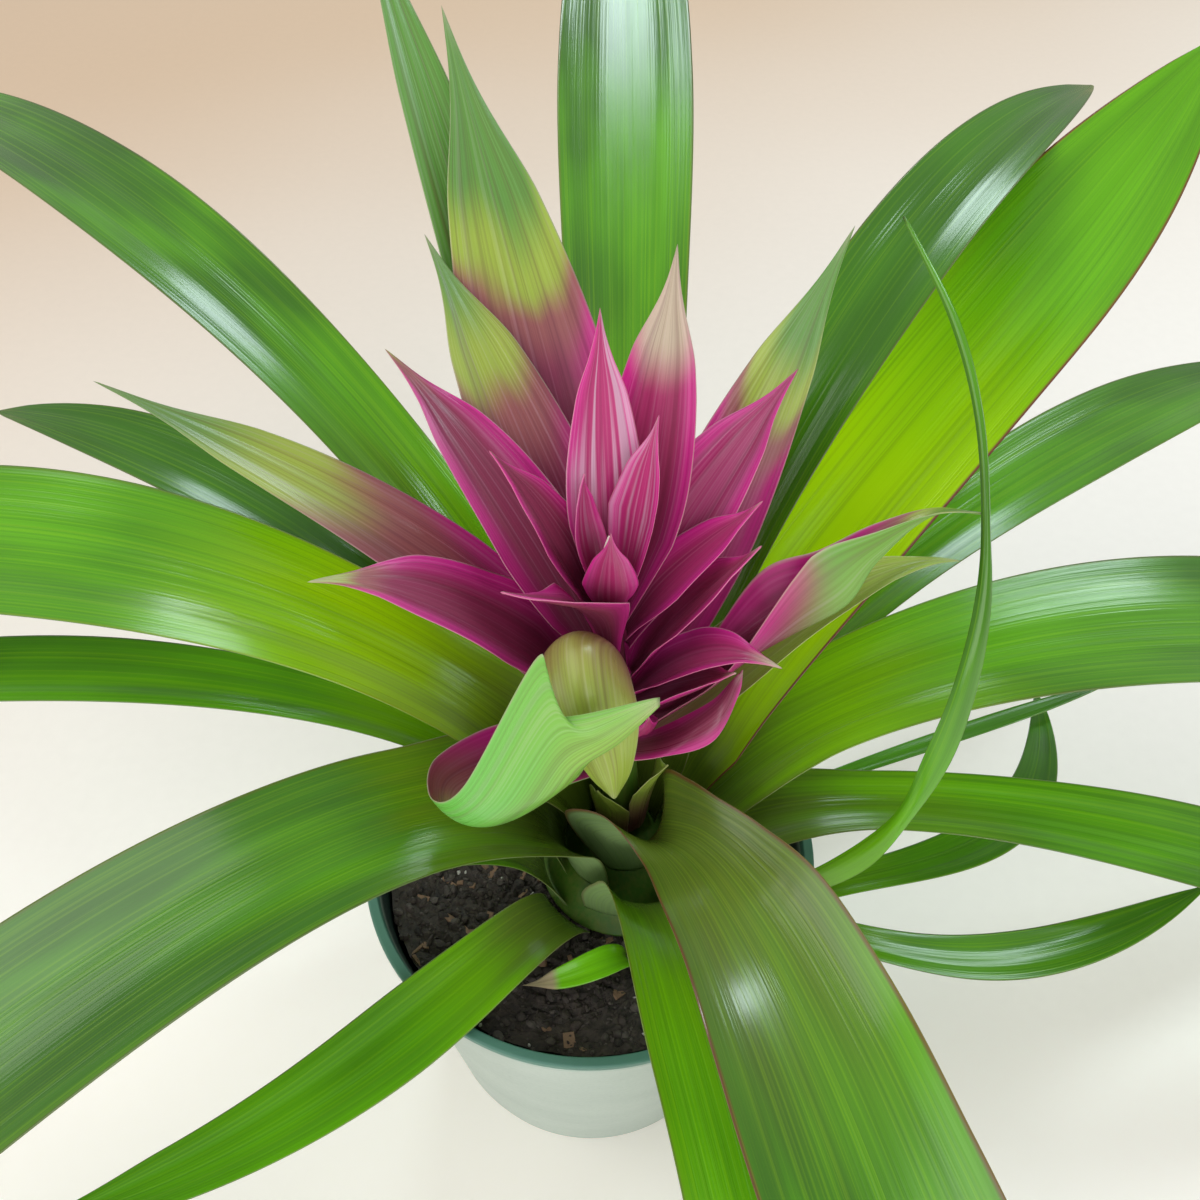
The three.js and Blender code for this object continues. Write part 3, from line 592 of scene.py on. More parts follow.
def folded_blade(row, thickness, material, slot):
    """A thin blade through its two margins and its rib, which may fold over itself."""
    node, width = row[0], row[2] * MM
    u = np.linspace(0.0, 1.0, FOLDED_STATIONS)
    v = np.sin(np.linspace(-math.pi / 2, math.pi / 2, FOLDED_STRIPS))[None, :, None]
    left, rib, right = (line_through([places[side] for places in FOLDED_BLADES[node]], u)[:, None] * MM
                        for side in range(3))
    middle = left * (v * v + v) / 2 + rib * (1 - v * v) + right * (v * v - v) / 2
    middle = middle + np.array([0.0, 0.0, LIP_HEIGHT])
    across = left * (2 * v + 1) / 2 - rib * 2 * v + right * (2 * v - 1) / 2
    face = np.cross(np.gradient(middle, axis=0), across)
    face /= np.linalg.norm(face, axis=2, keepdims=True)
    steps = np.linalg.norm(np.diff(rib[:, 0], axis=0), axis=1)
    lengths = np.concatenate([[0.0], np.cumsum(steps)])
    along = lengths / lengths[-1]
    closing = np.minimum(1.0, np.minimum(along, 1 - along) / 0.01)[:, None, None]
    half = thickness / 2 * (1 - EDGE_THINNING * v * v) * closing * (np.abs(v) < 0.999)
    places = np.concatenate([(middle + face * half).reshape(-1, 3), (middle - face * half).reshape(-1, 3)])
    faces = []
    count = u.size * FOLDED_STRIPS
    for i in range(FOLDED_STATIONS - 1):
        for j in range(FOLDED_STRIPS - 1):
            a = i * FOLDED_STRIPS + j
            upper = (a, a + FOLDED_STRIPS, a + FOLDED_STRIPS + 1, a + 1)
            faces.append(upper)
            faces.append(tuple(count + k for k in reversed(upper)))
    mesh = bpy.data.meshes.new(node + "_blade")
    mesh.from_pydata(places.tolist(), [], faces)
    lanes = np.broadcast_to(v[..., 0], (u.size, FOLDED_STRIPS))
    alongs = np.broadcast_to(along[:, None], lanes.shape)
    blade = [np.stack([alongs, lanes, np.full(lanes.shape, upper)], -1).reshape(-1, 3)
             for upper in (1.0, 0.0)]
    zones, tone = (np.tile(mark, (2 * count, 1)) for mark in marks(row, slot))
    for label, values in (("blade", np.concatenate(blade)), ("zones", zones), ("tone", tone)):
        attribute = mesh.attributes.new(label, "FLOAT_VECTOR", "POINT")
        attribute.data.foreach_set("vector", values.astype(np.float32).ravel())
    flat = np.stack([lanes * width / 2, alongs * lengths[-1]], -1).reshape(-1, 2)
    flat = np.concatenate([flat, flat])
    corners = np.zeros(len(mesh.loops), np.int32)
    mesh.loops.foreach_get("vertex_index", corners)
    mesh.uv_layers.new(name="UVMap").data.foreach_set("uv", flat[corners].astype(np.float32).ravel())
    shape = bmesh.new()
    shape.from_mesh(mesh)
    bmesh.ops.remove_doubles(shape, verts=shape.verts, dist=WELD)
    shape.to_mesh(mesh)
    shape.free()
    mesh.shade_smooth()
    mesh.materials.append(material)
    return linked(node + "_blade", mesh)


def add_blade(tree, row, foot, settings, material, slot):
    """One blade from its row of the table."""
    node, heading, width, rise, arch, tip, _ = row
    if node in FOLDED_BLADES:
        return stand_for(folded_blade(row, settings.thickness, material, slot), node)
    more = {"foot": foot, "lance": slot == "bract", **USUAL, **row[-1]}
    at, foot = more["at"], more["foot"]
    middle = (at[0] * MM, at[1] * MM, LIP_HEIGHT) if at else (on_axis(foot[1]), 0.0, LIP_HEIGHT)
    zones, tone = marks(row, slot)
    places = {"Foot": (foot, 0), "Rise": (rise, 0), "Arch": (arch, 0), "Tip": (tip, more["sway"])}
    values = {name: (out * MM, aside * MM, up * MM) for name, ((out, up), aside) in places.items()}
    strips = max(FEWEST_STRIPS, min(settings.strips, 2 * round(width * STRIPS_PER_MM))) + 1
    values.update({
        "Middle": middle, "Heading": math.radians(heading), "Width": width * MM,
        "Lance": float(more["lance"]), "Roll": math.radians(more["roll"]),
        "Channel": more["channel"], "Neck": more["neck"],
        "Thickness": settings.thickness, "Point": POINT, "Pleat": min(width, WIDEST_PLEATED) * PLEAT * MM,
        "Pleats": PLEATS * math.pi, "Ruffle": width * RUFFLE * MM,
        "Waves": 2 * math.pi * RUFFLE_WAVES, "Phase": tone[2] * PHASE_STEP,
        "Zones": zones, "Tone": tone, "Strips": strips, "Stations": settings.stations, "Material": material,
    })
    stand_for(made_by(tree, node + "_blade", values), node)


# Finishes

# A finish lays its layers over one another, each with a share from 0 to 1.
# Lengthwise grain of a blade: how often it changes for each metre across and along it, its offset and detail
GRAIN = {
    "veins": (1400.0, 4.0, 0.0, 2.0),
    "ribs": (620.0, 6.0, 31.0, 3.0),
    "streaks": (130.0, 7.0, 57.0, 2.0),
    "clouds": (34.0, 12.0, 83.0, 2.0),
}
BLADE_RELIEF = (0.5, 0.4 * MM)
LIP_FINISH_DEPTH = 0.0024
POT_FLARE = 0.144
FLOOR_SPECKS = (0.3, 0.27, 0.24)
# Strength of the painted light: a faint glow of the floor near the viewer
FLOOR_PAINTED_GLOW = 0.18


def finish(name):
    """A new material with its builder and its own shader node."""
    material = bpy.data.materials.new(name)
    material.use_nodes = True
    return material, Graph(material.node_tree), material.node_tree.nodes["Principled BSDF"]


def bump(graph, height, strength, distance):
    return graph.node("ShaderNodeBump", None, {"Height": height, "Strength": strength, "Distance": distance})


def blade_pattern(graph):
    """What every blade's finish is drawn from: its places, its zones and its lengthwise grain."""
    along, across, upper = graph.attribute("blade")
    zones = graph.attribute("zones")
    tone, strength, seed = graph.attribute("tone")
    flat_x, flat_y, _ = graph.split(graph.node("ShaderNodeUVMap", {"uv_map": "UVMap"}))
    grain = [graph.noise(graph.join(flat_x * fine, flat_y * long, seed + offset), detail=detail)
             for fine, long, offset, detail in GRAIN.values()]
    return along, across, upper, zones, tone, strength, *grain


def leaf_finish(colours):
    """Green, streaked and veined lengthwise, olive at its foot, paler beneath, with a thin red margin."""
    material, graph, shader = finish("Leaf")
    ink = Inks(colours)
    along, across, upper, zones, tone, red, veins, ribs, streaks, clouds = blade_pattern(graph)
    lime_end, lime_share, dry_from = zones
    lime = graph.smooth(lime_end * 1.2, lime_end * 0.7, along + clouds * 0.2 + streaks * 0.05)
    foot_end = graph.most(-lime_share, 0.0) + 0.22
    foot = graph.smooth(foot_end, foot_end * 0.4, along + streaks * 0.1 + clouds * 0.1)
    margin = graph.smooth(0.95, 0.985, abs(across) + streaks * 0.01)
    colour = graph.layers(
        ink.deep,
        # The tone terms lighten or darken a whole leaf: partly its own colour, partly painted light and shade.
        (0.5 + clouds * 1.6 + tone * 0.6 - along * 0.3, ink.mid),
        (0.32 + clouds * 0.9 + streaks * 0.6 + tone * 0.8 - along * 0.35, ink.bright),
        (lime * graph.most(lime_share, 0.0), ink.lime),
        (foot * 0.85, ink.foot),
        ((1.0 - upper) * 0.65, ink.beneath),
        (margin * red, ink.margin),
        (graph.smooth(dry_from, dry_from + 0.08, along + streaks * 0.06), ink.dry),
        (graph.smooth(0.0, -0.2, veins) * 0.25, ink.deep),
        (graph.smooth(0.0, 0.2, veins) * 0.12, ink.lime),
        (graph.smooth(0.0, 0.2, ribs) * 0.18, ink.deep),
    )
    graph.feed(shader, {
        "Base Color": colour,
        "Roughness": 0.22 + streaks * 0.16 + ribs * 0.16 + (1.0 - upper) * 0.2,
        "Normal": bump(graph, veins * 0.4 + ribs * 0.6 + streaks * 0.9, *BLADE_RELIEF),
        "Specular IOR Level": 0.5, "Coat Weight": 0.05, "Coat Roughness": 0.1,
    })
    return material


def bract_finish(colours):
    """Dusky magenta from a plum foot, pink at the margins, mottled where it turns to green, pale-tipped.

    The plum foot is painted shade deep in the flower head, the plum that a tone below 0 lays on is painted
    shade, and the pale stripes are partly painted sheen.
    """
    material, graph, shader = finish("Bract")
    ink = Inks(colours)
    along, across, upper, zones, tone, green_under, veins, ribs, streaks, clouds = blade_pattern(graph)
    flush_end, change, pale_from = zones
    reach = abs(across)
    curve = reach ** 4.0
    shift = (along - flush_end - curve * 0.08 + streaks * 0.06 + clouds * 0.24) / change + 0.5
    beneath = (1.0 - upper) * graph.smooth(green_under - 0.12, green_under + 0.12, along + clouds * 0.2)
    outer = graph.mix(0.22 + clouds * 1.4 + streaks * 0.4, ink.beneath, ink.mottle)
    pale = graph.smooth(pale_from, pale_from + 0.16, along - curve * 0.06 + streaks * 0.05 + clouds * 0.1)
    # Pale stripes near a bright bract's tip: partly real lighter stripes, partly painted gloss streaks.
    stripes_and_sheen = graph.smooth(-0.06, 0.14, ribs + clouds * 0.5) * graph.smooth(0.2, 0.5, along)
    colour = graph.layers(
        ink.dusky,
        # The tone term makes a bract brighter magenta: partly its own colour, partly painted light.
        (0.15 + streaks * 0.6 + clouds * 1.1 + tone * 0.7, ink.magenta),
        # Painted shade: the foot, deep in the flower head, is darkened towards plum.
        (graph.smooth(0.65, 0.05, along + clouds * 0.4) * 0.6, ink.plum),
        (graph.smooth(0.35, 1.0, reach + clouds * 0.3) * 0.85, ink.pink),
        (graph.smooth(0.10, 0.42, shift), ink.blush),
        (graph.smooth(0.42, 0.68, shift), ink.mottle),
        (graph.smooth(0.72, 1.15, shift), ink.green),
        (beneath, outer),
        (pale * 0.85, ink.tip),
        (stripes_and_sheen * graph.most(tone - 0.5, 0.0) * 0.85, ink.stripe_and_sheen),
        # Painted shade: a tone below 0 darkens a bract towards plum, as on a side turned from the light.
        (graph.most(-tone, 0.0) * 0.4, ink.plum),
        (graph.smooth(0.0, -0.2, veins) * 0.25, ink.plum),
        (graph.smooth(0.0, 0.2, veins) * 0.08, ink.stripe_and_sheen),
        (graph.smooth(0.0, 0.2, ribs) * 0.3, ink.plum),
        (graph.smooth(0.965, 0.995, reach) * 0.4, ink.tip),
    )
    graph.feed(shader, {
        "Base Color": colour,
        "Roughness": 0.33 + streaks * 0.3 + ribs * 0.16,
        "Normal": bump(graph, veins * 0.3 + ribs * 0.6 + streaks * 0.9, *BLADE_RELIEF),
        "Specular IOR Level": 0.4, "Coat Weight": 0.1, "Coat Roughness": 0.15,
    })
    return material


def object_place(graph):
    """Object coordinates, whole and apart."""
    place = graph.node("ShaderNodeTexCoord")["Object"]
    return place, *graph.split(place)


def pot_finish(settings):
    """Pale grey-green moulded plastic with a darker lip and inside, and light rubbing round the body.

    The darker inside is painted shade on the inner wall.
    """
    material, graph, shader = finish("Pot Plastic")
    ink = Inks(settings)
    place, x, y, z = object_place(graph)
    speckle = graph.noise(place, 900.0)
    cloud = graph.noise(graph.join(x * 20.0, y * 20.0, z * 60.0), detail=3.0)
    rings = graph.noise(graph.join(x * 3.0, y * 3.0, z * 900.0))
    lip_edge = LIP_HEIGHT - LIP_FINISH_DEPTH + cloud * 0.0003
    lip = graph.mix(0.5 + cloud * 1.5, ink.lip_colour, ink.lip_light)
    radius = (x * x + y * y) ** 0.5
    wall = settings.base_radius + (z - 0.004) * POT_FLARE
    inner = graph.smooth(wall - 0.0004, wall - 0.0009, radius) * graph.smooth(0.0022, 0.003, z + 0.001)
    colour = graph.layers(
        ink.body_colour,
        (0.5 + cloud * 1.2 + rings * 0.5, ink.shade_colour),
        (graph.smooth(0.15, 0.3, speckle) * 0.15, ink.lip_colour),
        (graph.smooth(lip_edge, lip_edge + 0.0002, z), lip),
        # Painted shade: the inner wall above the mix is darker than the teal lip.
        (inner, ink.inside_shade_colour),
    )
    graph.feed(shader, {
        "Base Color": colour,
        "Roughness": 0.42 + cloud * 0.2 + speckle * 0.2,
        "Normal": bump(graph, speckle * 0.5 + rings * 0.6, 0.25, 0.0002),
        "Specular IOR Level": 0.45,
    })
    return material


def mix_finish(settings):
    """Dark peat: each crumb its own brown or grey, damp and rough."""
    material, graph, shader = finish("Potting Mix")
    ink = Inks(settings)
    shade, bark, perlite = graph.attribute("crumb")
    place = object_place(graph)[0]
    grain = graph.noise(place, 700.0, 4.0, 0.6)
    patch = graph.noise(place, 160.0, 3.0, 0.6)
    colour = graph.layers(
        ink.dark_colour,
        (0.45 + grain * 1.6 + patch * 1.2, ink.brown_colour),
        (graph.smooth(0.55, 1.0, shade) * 0.5, ink.grey_colour),
        (bark, ink.bark_colour),
        (perlite, ink.perlite_colour),
    )
    graph.feed(shader, {
        "Base Color": colour,
        "Roughness": 0.75 + grain * 0.5,
        "Normal": bump(graph, grain + patch * 0.5, 0.8, 0.0006),
        "Specular IOR Level": 0.4,
    })
    return material


def stem_finish(settings):
    """Olive with lengthwise lines, plum towards the flower head."""
    material, graph, shader = finish("Stem")
    ink = Inks(settings)
    place, x, y, z = object_place(graph)
    lines = graph.noise(graph.join(x * 900.0, y * 900.0, z * 25.0))
    cloud = graph.noise(place, 90.0)
    colour = graph.layers(
        ink.green,
        (0.4 + lines * 1.5, ink.olive),
        (graph.smooth(0.15, 0.2, z + cloud * 0.02), ink.head),
    )
    graph.feed(shader, {
        "Base Color": colour,
        "Roughness": 0.5 + lines * 0.3,
        "Normal": bump(graph, lines + cloud, 0.4, 0.0003),
    })
    return material


def bud_finish(settings):
    """Waxy white, greenish at its foot."""
    material, graph, shader = finish("Bud")
    ink = Inks(settings)
    _, x, y, z = object_place(graph)
    lines = graph.noise(graph.join(x * 1500.0, y * 1500.0, z * 60.0))
    height = LIP_HEIGHT + (STEM_TOP + 1) * MM
    colour = graph.layers(
        ink.petal,
        (0.5 + lines * 1.2, ink.petal_shade),
        (graph.smooth(height + 0.006, height, z + lines * 0.002) * 0.8, ink.petal_foot),
    )
    graph.feed(shader, {
        "Base Color": colour,
        "Roughness": 0.4 + lines * 0.3,
        "Normal": bump(graph, lines, 0.3, 0.0002),
    })
    return material


def floor_finish(settings):
    """A plain pale floor, darker and warmer away from the viewer as painted shade where the light falls off.

    Near the viewer it glows faintly: painted light.
    """
    material, graph, shader = finish("Floor")
    ink = Inks(settings)
    place, x, y, _ = object_place(graph)
    cloud = graph.noise(place, 1.6)
    grain = graph.noise(place, 180.0, 3.0)
    # Painted shade: the floor darkens and warms away from the viewer, where the light falls off.
    far = graph.smooth(0.05, 1.0, y - x * 0.55 + cloud * 0.3)
    colour = graph.mix(far, ink.floor_near, ink.floor_far_shade)
    colour = graph.mix(0.5 + grain, colour, graph.mix(0.06, colour, FLOOR_SPECKS))
    # Painted light: near the viewer the floor glows faintly in its own colour.
    near = graph.smooth(0.12, -0.08, y + x * 0.2)
    graph.feed(shader, {
        "Base Color": colour, "Roughness": 0.7 + grain * 0.1, "Specular IOR Level": 0.2,
        "Emission Color": graph.mix(near, (0.0, 0.0, 0.0), ink.floor_near), "Emission Strength": FLOOR_PAINTED_GLOW,
    })
    return material


# Turned pieces

POT_SIDES = 144
FOOT_GAP = 0.0008
POT_FLOOR = 0.002
WALL_RADIUS = 0.0612
LIP_DEPTH = 0.0095
POT_ROUNDING = 0.0005
DRAINS = 6
DRAIN_CIRCLE = 0.03
DRAIN_RADIUS = 0.004
DRAIN_DEPTH = 0.02
STEM_SIDES = 48
STEM_ROUNDING = 0.002
BUD_SIDES = 32
BUD_ROUNDING = 0.0008
BUD_OUTLINE = [
    (0, 0), (0.9, 0.4), (1.25, 2), (1.6, 4.5), (1.5, 7), (1.2, 9), (0.75, 11), (0.3, 12.6), (0, 13),
]
MIX_LEVEL = -8.7
PEG_RADIUS = 10
PEG_FOOT = -54
SEAT_SHARE = 0.975
SEAT_GAP = 0.6


def circle(radius, count):
    """Evenly spaced places round a circle."""
    angles = [2 * math.pi * i / count for i in range(count)]
    return [(radius * math.cos(angle), radius * math.sin(angle)) for angle in angles]


def mesh_of(name, shape):
    """The finished shape as a mesh."""
    data = bpy.data.meshes.new(name)
    shape.to_mesh(data)
    shape.free()
    return data


def turned(name, outline, sides, centre=lambda z: (0.0, 0.0)):
    """A closed body turned about a centre line, from (radius, height) points that start and end on it."""
    shape = bmesh.new()
    rings = []
    for radius, height in outline:
        middle_x, middle_y = centre(height)
        places = circle(radius, sides) if radius else [(0.0, 0.0)]
        rings.append([shape.verts.new((middle_x + x, middle_y + y, height)) for x, y in places])
    for lower, upper in zip(rings, rings[1:]):
        for i in range(sides):
            j = (i + 1) % sides
            corners = [ring[k % len(ring)] for ring, k in ((lower, i), (lower, j), (upper, j), (upper, i))]
            shape.faces.new(list(dict.fromkeys(corners)))
    bmesh.ops.recalc_face_normals(shape, faces=shape.faces)
    for face in shape.faces:
        face.smooth = True
    return linked(name, mesh_of(name, shape))


def rounded(corners, radius, steps=4):
    """The outline with each corner but the first and last one rounded off."""
    outline = [corners[0]]
    for before, here, after in zip(corners, corners[1:], corners[2:]):
        point = np.array(here)
        back, ahead = np.array(before) - point, np.array(after) - point
        cut = min(radius, 0.45 * np.linalg.norm(back), 0.45 * np.linalg.norm(ahead))
        start = point + back / np.linalg.norm(back) * cut
        end = point + ahead / np.linalg.norm(ahead) * cut
        for i in range(steps + 1):
            t = i / steps
            outline.append(tuple((1 - t) ** 2 * start + 2 * t * (1 - t) * point + t * t * end))
    return outline + [corners[-1]]


def make_pot(settings):
    """The pot with its lip, band, foot step and drainage holes, turned from its wall's section in metres."""
    top, lip = LIP_HEIGHT, settings.lip_radius
    base, wall = settings.base_radius, settings.wall
    corners = [
        (0, FOOT_GAP), (base - 0.006, FOOT_GAP), (base - 0.004, 0), (base, 0),
        (base, 0.004), (base + 0.0012, 0.005), (WALL_RADIUS, top - LIP_DEPTH), (0.0632, top - 0.0085),
        (0.0626, top - 0.0075), (0.063, top - 0.0032), (lip, top - LIP_FINISH_DEPTH), (lip, top - 0.0003),
        (lip - 0.0005, top), (0.0623, top), (0.062, top - 0.0007),
        (WALL_RADIUS - wall, top - LIP_DEPTH), (base - wall, POT_FLOOR), (0, POT_FLOOR),
    ]
    piece = turned("pot_shell", rounded(corners, POT_ROUNDING), POT_SIDES)
    drains = bmesh.new()
    for x, y in circle(DRAIN_CIRCLE, DRAINS):
        made = bmesh.ops.create_cone(drains, cap_ends=True, segments=32, radius1=DRAIN_RADIUS,
                                     radius2=DRAIN_RADIUS, depth=DRAIN_DEPTH)
        bmesh.ops.translate(drains, verts=made["verts"], vec=Vector((x, y, 0.001)))
    cutter = linked("drain_cutter", mesh_of("drain_cutter", drains))
    modifier = piece.modifiers.new("Drains", "BOOLEAN")
    modifier.operation = "DIFFERENCE"
    modifier.object = cutter
    modifier.solver = "EXACT"
    applied(piece)
    bpy.data.objects.remove(cutter)
    return piece


# Potting mix

MIX_TOP = LIP_HEIGHT - 0.009
MIX_RADIUS = 0.0586
MIX_FOOT = (0.0462, 0.0023)
BED_SIDES = 128
BED_RINGS = 40
CHIP_SIZE = (0.0016, 0.0012, 0.0006)
CRUMB_SHAKE = 0.0016

CRUMB_INPUTS = {
    "Bed": "mesh", "Fine": "number", "Coarse": "number", "Chips": "number", "Seed": "count",
    "Crumb Size": "length", "Material": "material",
}


def scatter(graph, bed, density, seed, shape, low, high, flat, tint):
    """Copies of a shape laid on the bed, each turned, sized and shaded by the seed."""
    def drawn(kind, ends, step):
        return graph.node("FunctionNodeRandomValue", {"data_type": kind}, {**ends, "Seed": seed + step})

    sockets = {"Mesh": bed, "Density": density, "Seed": seed}
    points = graph.node("GeometryNodeDistributePointsOnFaces", {"distribute_method": "RANDOM"}, sockets)
    turn = drawn("FLOAT_VECTOR", {0: (-0.5, -0.5, 0.0), 1: (0.5, 0.5, 2 * math.pi)}, 1.0)
    size = drawn("FLOAT_VECTOR", {0: (low, low * 0.7, low * flat), 1: (high, high * 0.8, high * flat)}, 2.0)
    sockets = {"Points": points, "Instance": shape, "Rotation": turn, "Scale": size}
    copies = graph.node("GeometryNodeInstanceOnPoints", None, sockets)
    shade = drawn("FLOAT", {2: 0.0, 3: 1.0}, 3.0)[1]
    return stored(graph, copies, "crumb", graph.join(shade, *tint), domain="INSTANCE")


def crumb_tree():
    """The bed of potting mix with crumbs, lumps, bark chips and white grains scattered over its top."""
    graph, given = geometry_tree("Crumbs", CRUMB_INPUTS)
    bed, size = given["Bed"], given["Crumb Size"]
    normal = graph.split(graph.node("GeometryNodeInputNormal"))[2]
    settings = {"data_type": "FLOAT", "operation": "GREATER_THAN"}
    upward = graph.node("FunctionNodeCompare", settings, {0: normal, 1: 0.2})
    sockets = {"Geometry": bed, "Selection": upward}
    top = graph.node("GeometryNodeSeparateGeometry", {"domain": "FACE"}, sockets)
    small = graph.node("GeometryNodeMeshIcoSphere", None, {"Radius": size, "Subdivisions": 1})
    large = graph.node("GeometryNodeMeshIcoSphere", None, {"Radius": size, "Subdivisions": 2})
    chip = graph.node("GeometryNodeMeshCube", None, {"Size": CHIP_SIZE})
    parts = [bed]
    # Density, the seed's step, shape, least and greatest size, flatness, and shares of bark and white
    for density, step, shape, low, high, flat, tint in (
        (given["Fine"], 3.0, small, 0.5, 1.2, 0.8, (0.0, 0.0)),
        (given["Coarse"], 17.0, large, 1.3, 2.6, 0.6, (0.0, 0.0)),
        (given["Chips"], 29.0, chip, 0.8, 3.4, 0.7, (0.75, 0.0)),
        (given["Chips"] * 0.35, 41.0, large, 0.5, 1.0, 0.9, (0.0, 0.9)),
    ):
        parts.append(scatter(graph, top, density, given["Seed"] + step, shape, low, high, flat, tint))
    joined = graph.node("GeometryNodeJoinGeometry", None, {0: parts})
    real = graph.node("GeometryNodeRealizeInstances", None, {"Geometry": joined})
    spot = graph.node("GeometryNodeInputPosition")
    shake = graph.node("ShaderNodeTexNoise", None, {"Vector": spot, "Scale": 420.0, "Detail": 2.0})[1]
    inner = graph.smooth(MIX_TOP - 0.004, MIX_TOP - 0.002, graph.split(spot)[2])
    offset = (shake - (0.5, 0.5, 0.5)) * (inner * CRUMB_SHAKE)
    moved = graph.node("GeometryNodeSetPosition", None, {"Geometry": real, "Offset": offset})
    finish_tree(graph, moved, given["Material"])
    return graph.tree


def mix_bed():
    """The filled inside of the pot: a top with ripples and swells, a plain wall and an underside."""
    shape = bmesh.new()
    rows = [[shape.verts.new((x, y, z)) for x, y in circle(radius, BED_SIDES)]
            for radius, z in (MIX_FOOT, (MIX_RADIUS, MIX_TOP))]
    for ring in range(1, BED_RINGS):
        row = []
        for x, y in circle(MIX_RADIUS * (1 - ring / BED_RINGS), BED_SIDES):
            wave = math.sin(900 * x + 1300 * y) + math.sin(1700 * x - 800 * y)
            swell = math.sin(210 * x + 1.1) * math.cos(170 * y + 0.4)
            ease = min(1, ring / 3)
            row.append(shape.verts.new((x, y, MIX_TOP + ease * (0.0005 * wave + 0.0007 * swell - 0.0009))))
        rows.append(row)
    for lower, upper in zip(rows, rows[1:]):
        for i in range(BED_SIDES):
            j = (i + 1) % BED_SIDES
            shape.faces.new((lower[i], lower[j], upper[j], upper[i]))
    for row in (rows[0], rows[-1]):
        middle = shape.verts.new(sum((v.co for v in row), Vector()) / BED_SIDES)
        for i in range(BED_SIDES):
            shape.faces.new((row[i], row[(i + 1) % BED_SIDES], middle))
    bmesh.ops.recalc_face_normals(shape, faces=shape.faces)
    return mesh_of("potting_mix_bed", shape)


# Sizes and colours that a user would change

def colour_property(name, value, description):
    return bpy.props.FloatVectorProperty(
        name=name, description=description, default=value, size=3, min=0, max=255)


def length_property(name, value, description):
    return bpy.props.FloatProperty(
        name=name, description=description, default=value, min=0, unit="LENGTH", subtype="DISTANCE")


def number_property(name, value, description):
    return bpy.props.FloatProperty(name=name, description=description, default=value, min=0)


def count_property(name, value, description):
    return bpy.props.IntProperty(name=name, description=description, default=value, min=0)


class GuzmaniaLeafSettings(bpy.types.PropertyGroup):
    """Sizes and colours of the leaves."""

    thickness: length_property("Thickness", 0.0007, "Thickness of a leaf along its middle")
    strips: count_property("Strips", 36, "Most faces across a leaf")
    stations: count_property("Stations", 140, "Sections along a leaf")
    deep: colour_property("Deep", (54, 102, 20), "Shaded green")
    mid: colour_property("Mid", (82, 152, 14), "Middle green")
    bright: colour_property("Bright", (122, 206, 8), "Sunlit green")
    lime: colour_property("Lime", (174, 222, 0), "Yellow-green near the flower head")
    foot: colour_property("Foot", (98, 112, 44), "Olive at the foot")
    beneath: colour_property("Beneath", (150, 180, 128), "Underside")
    margin: colour_property("Margin", (112, 52, 44), "Thin red-brown margin")
    dry: colour_property("Dry", (176, 160, 128), "A dried tip")


class GuzmaniaBractSettings(bpy.types.PropertyGroup):
    """Sizes and colours of the bracts."""

    thickness: length_property("Thickness", 0.0006, "Thickness of a bract along its middle")
    strips: count_property("Strips", 26, "Most faces across a bract")
    stations: count_property("Stations", 96, "Sections along a bract")
    magenta: colour_property("Magenta", (184, 42, 114), "Brighter part")
    dusky: colour_property("Dusky", (140, 54, 84), "Main colour")
    pink: colour_property("Pink", (216, 40, 150), "Towards the margins")
    # Plum: painted shade at a bract's foot and on bracts turned from the light, and the colour of its veins and
    # ribs
    plum: colour_property("Plum", (96, 30, 54), "Shaded foot")
    blush: colour_property("Blush", (156, 92, 92), "Where magenta starts to fade")
    mottle: colour_property("Mottle", (160, 184, 70), "Yellow-green before the green")
    green: colour_property("Green", (98, 150, 66), "Green end")
    beneath: colour_property("Beneath", (104, 184, 74), "Outer face of a greenish bract")
    tip: colour_property("Tip", (196, 190, 162), "Pale tip")
    # Stripe: pale stripes and light veins, the stripes partly painted gloss streaks
    stripe_and_sheen: colour_property("Stripe", (242, 208, 234), "Pale lengthwise stripes")


class GuzmaniaStemSettings(bpy.types.PropertyGroup):
    """Colours of the stem and the flower bud."""

    green: colour_property("Green", (54, 102, 20), "Shaded green")
    olive: colour_property("Olive", (98, 112, 44), "Lengthwise lines")
    head: colour_property("Head", (110, 45, 66), "Plum among the bracts")
    petal: colour_property("Petal", (250, 247, 238), "Waxy white")
    petal_shade: colour_property("Petal shade", (232, 226, 205), "Lines of the petals")
    petal_foot: colour_property("Petal foot", (196, 205, 140), "Greenish foot of the bud")


class GuzmaniaPotSettings(bpy.types.PropertyGroup):
    """Sizes and colours of the pot."""

    lip_radius: length_property("Lip radius", LIP_RADIUS, "Outside radius of the lip")
    base_radius: length_property("Base radius", 0.048, "Outside radius of the base")
    wall: length_property("Wall", 0.0013, "Thickness of the wall")
    body_colour: colour_property("Body", (186, 199, 190), "Pale grey-green")
    shade_colour: colour_property("Shade", (170, 184, 176), "Rubbed and shaded body")
    lip_colour: colour_property("Lip", (64, 112, 100), "Teal lip")
    lip_light: colour_property("Lip light", (92, 138, 122), "Lighter parts of the lip")
    # Inside: painted shade of the inner wall
    inside_shade_colour: colour_property("Inside", (44, 60, 56), "Dark inside")


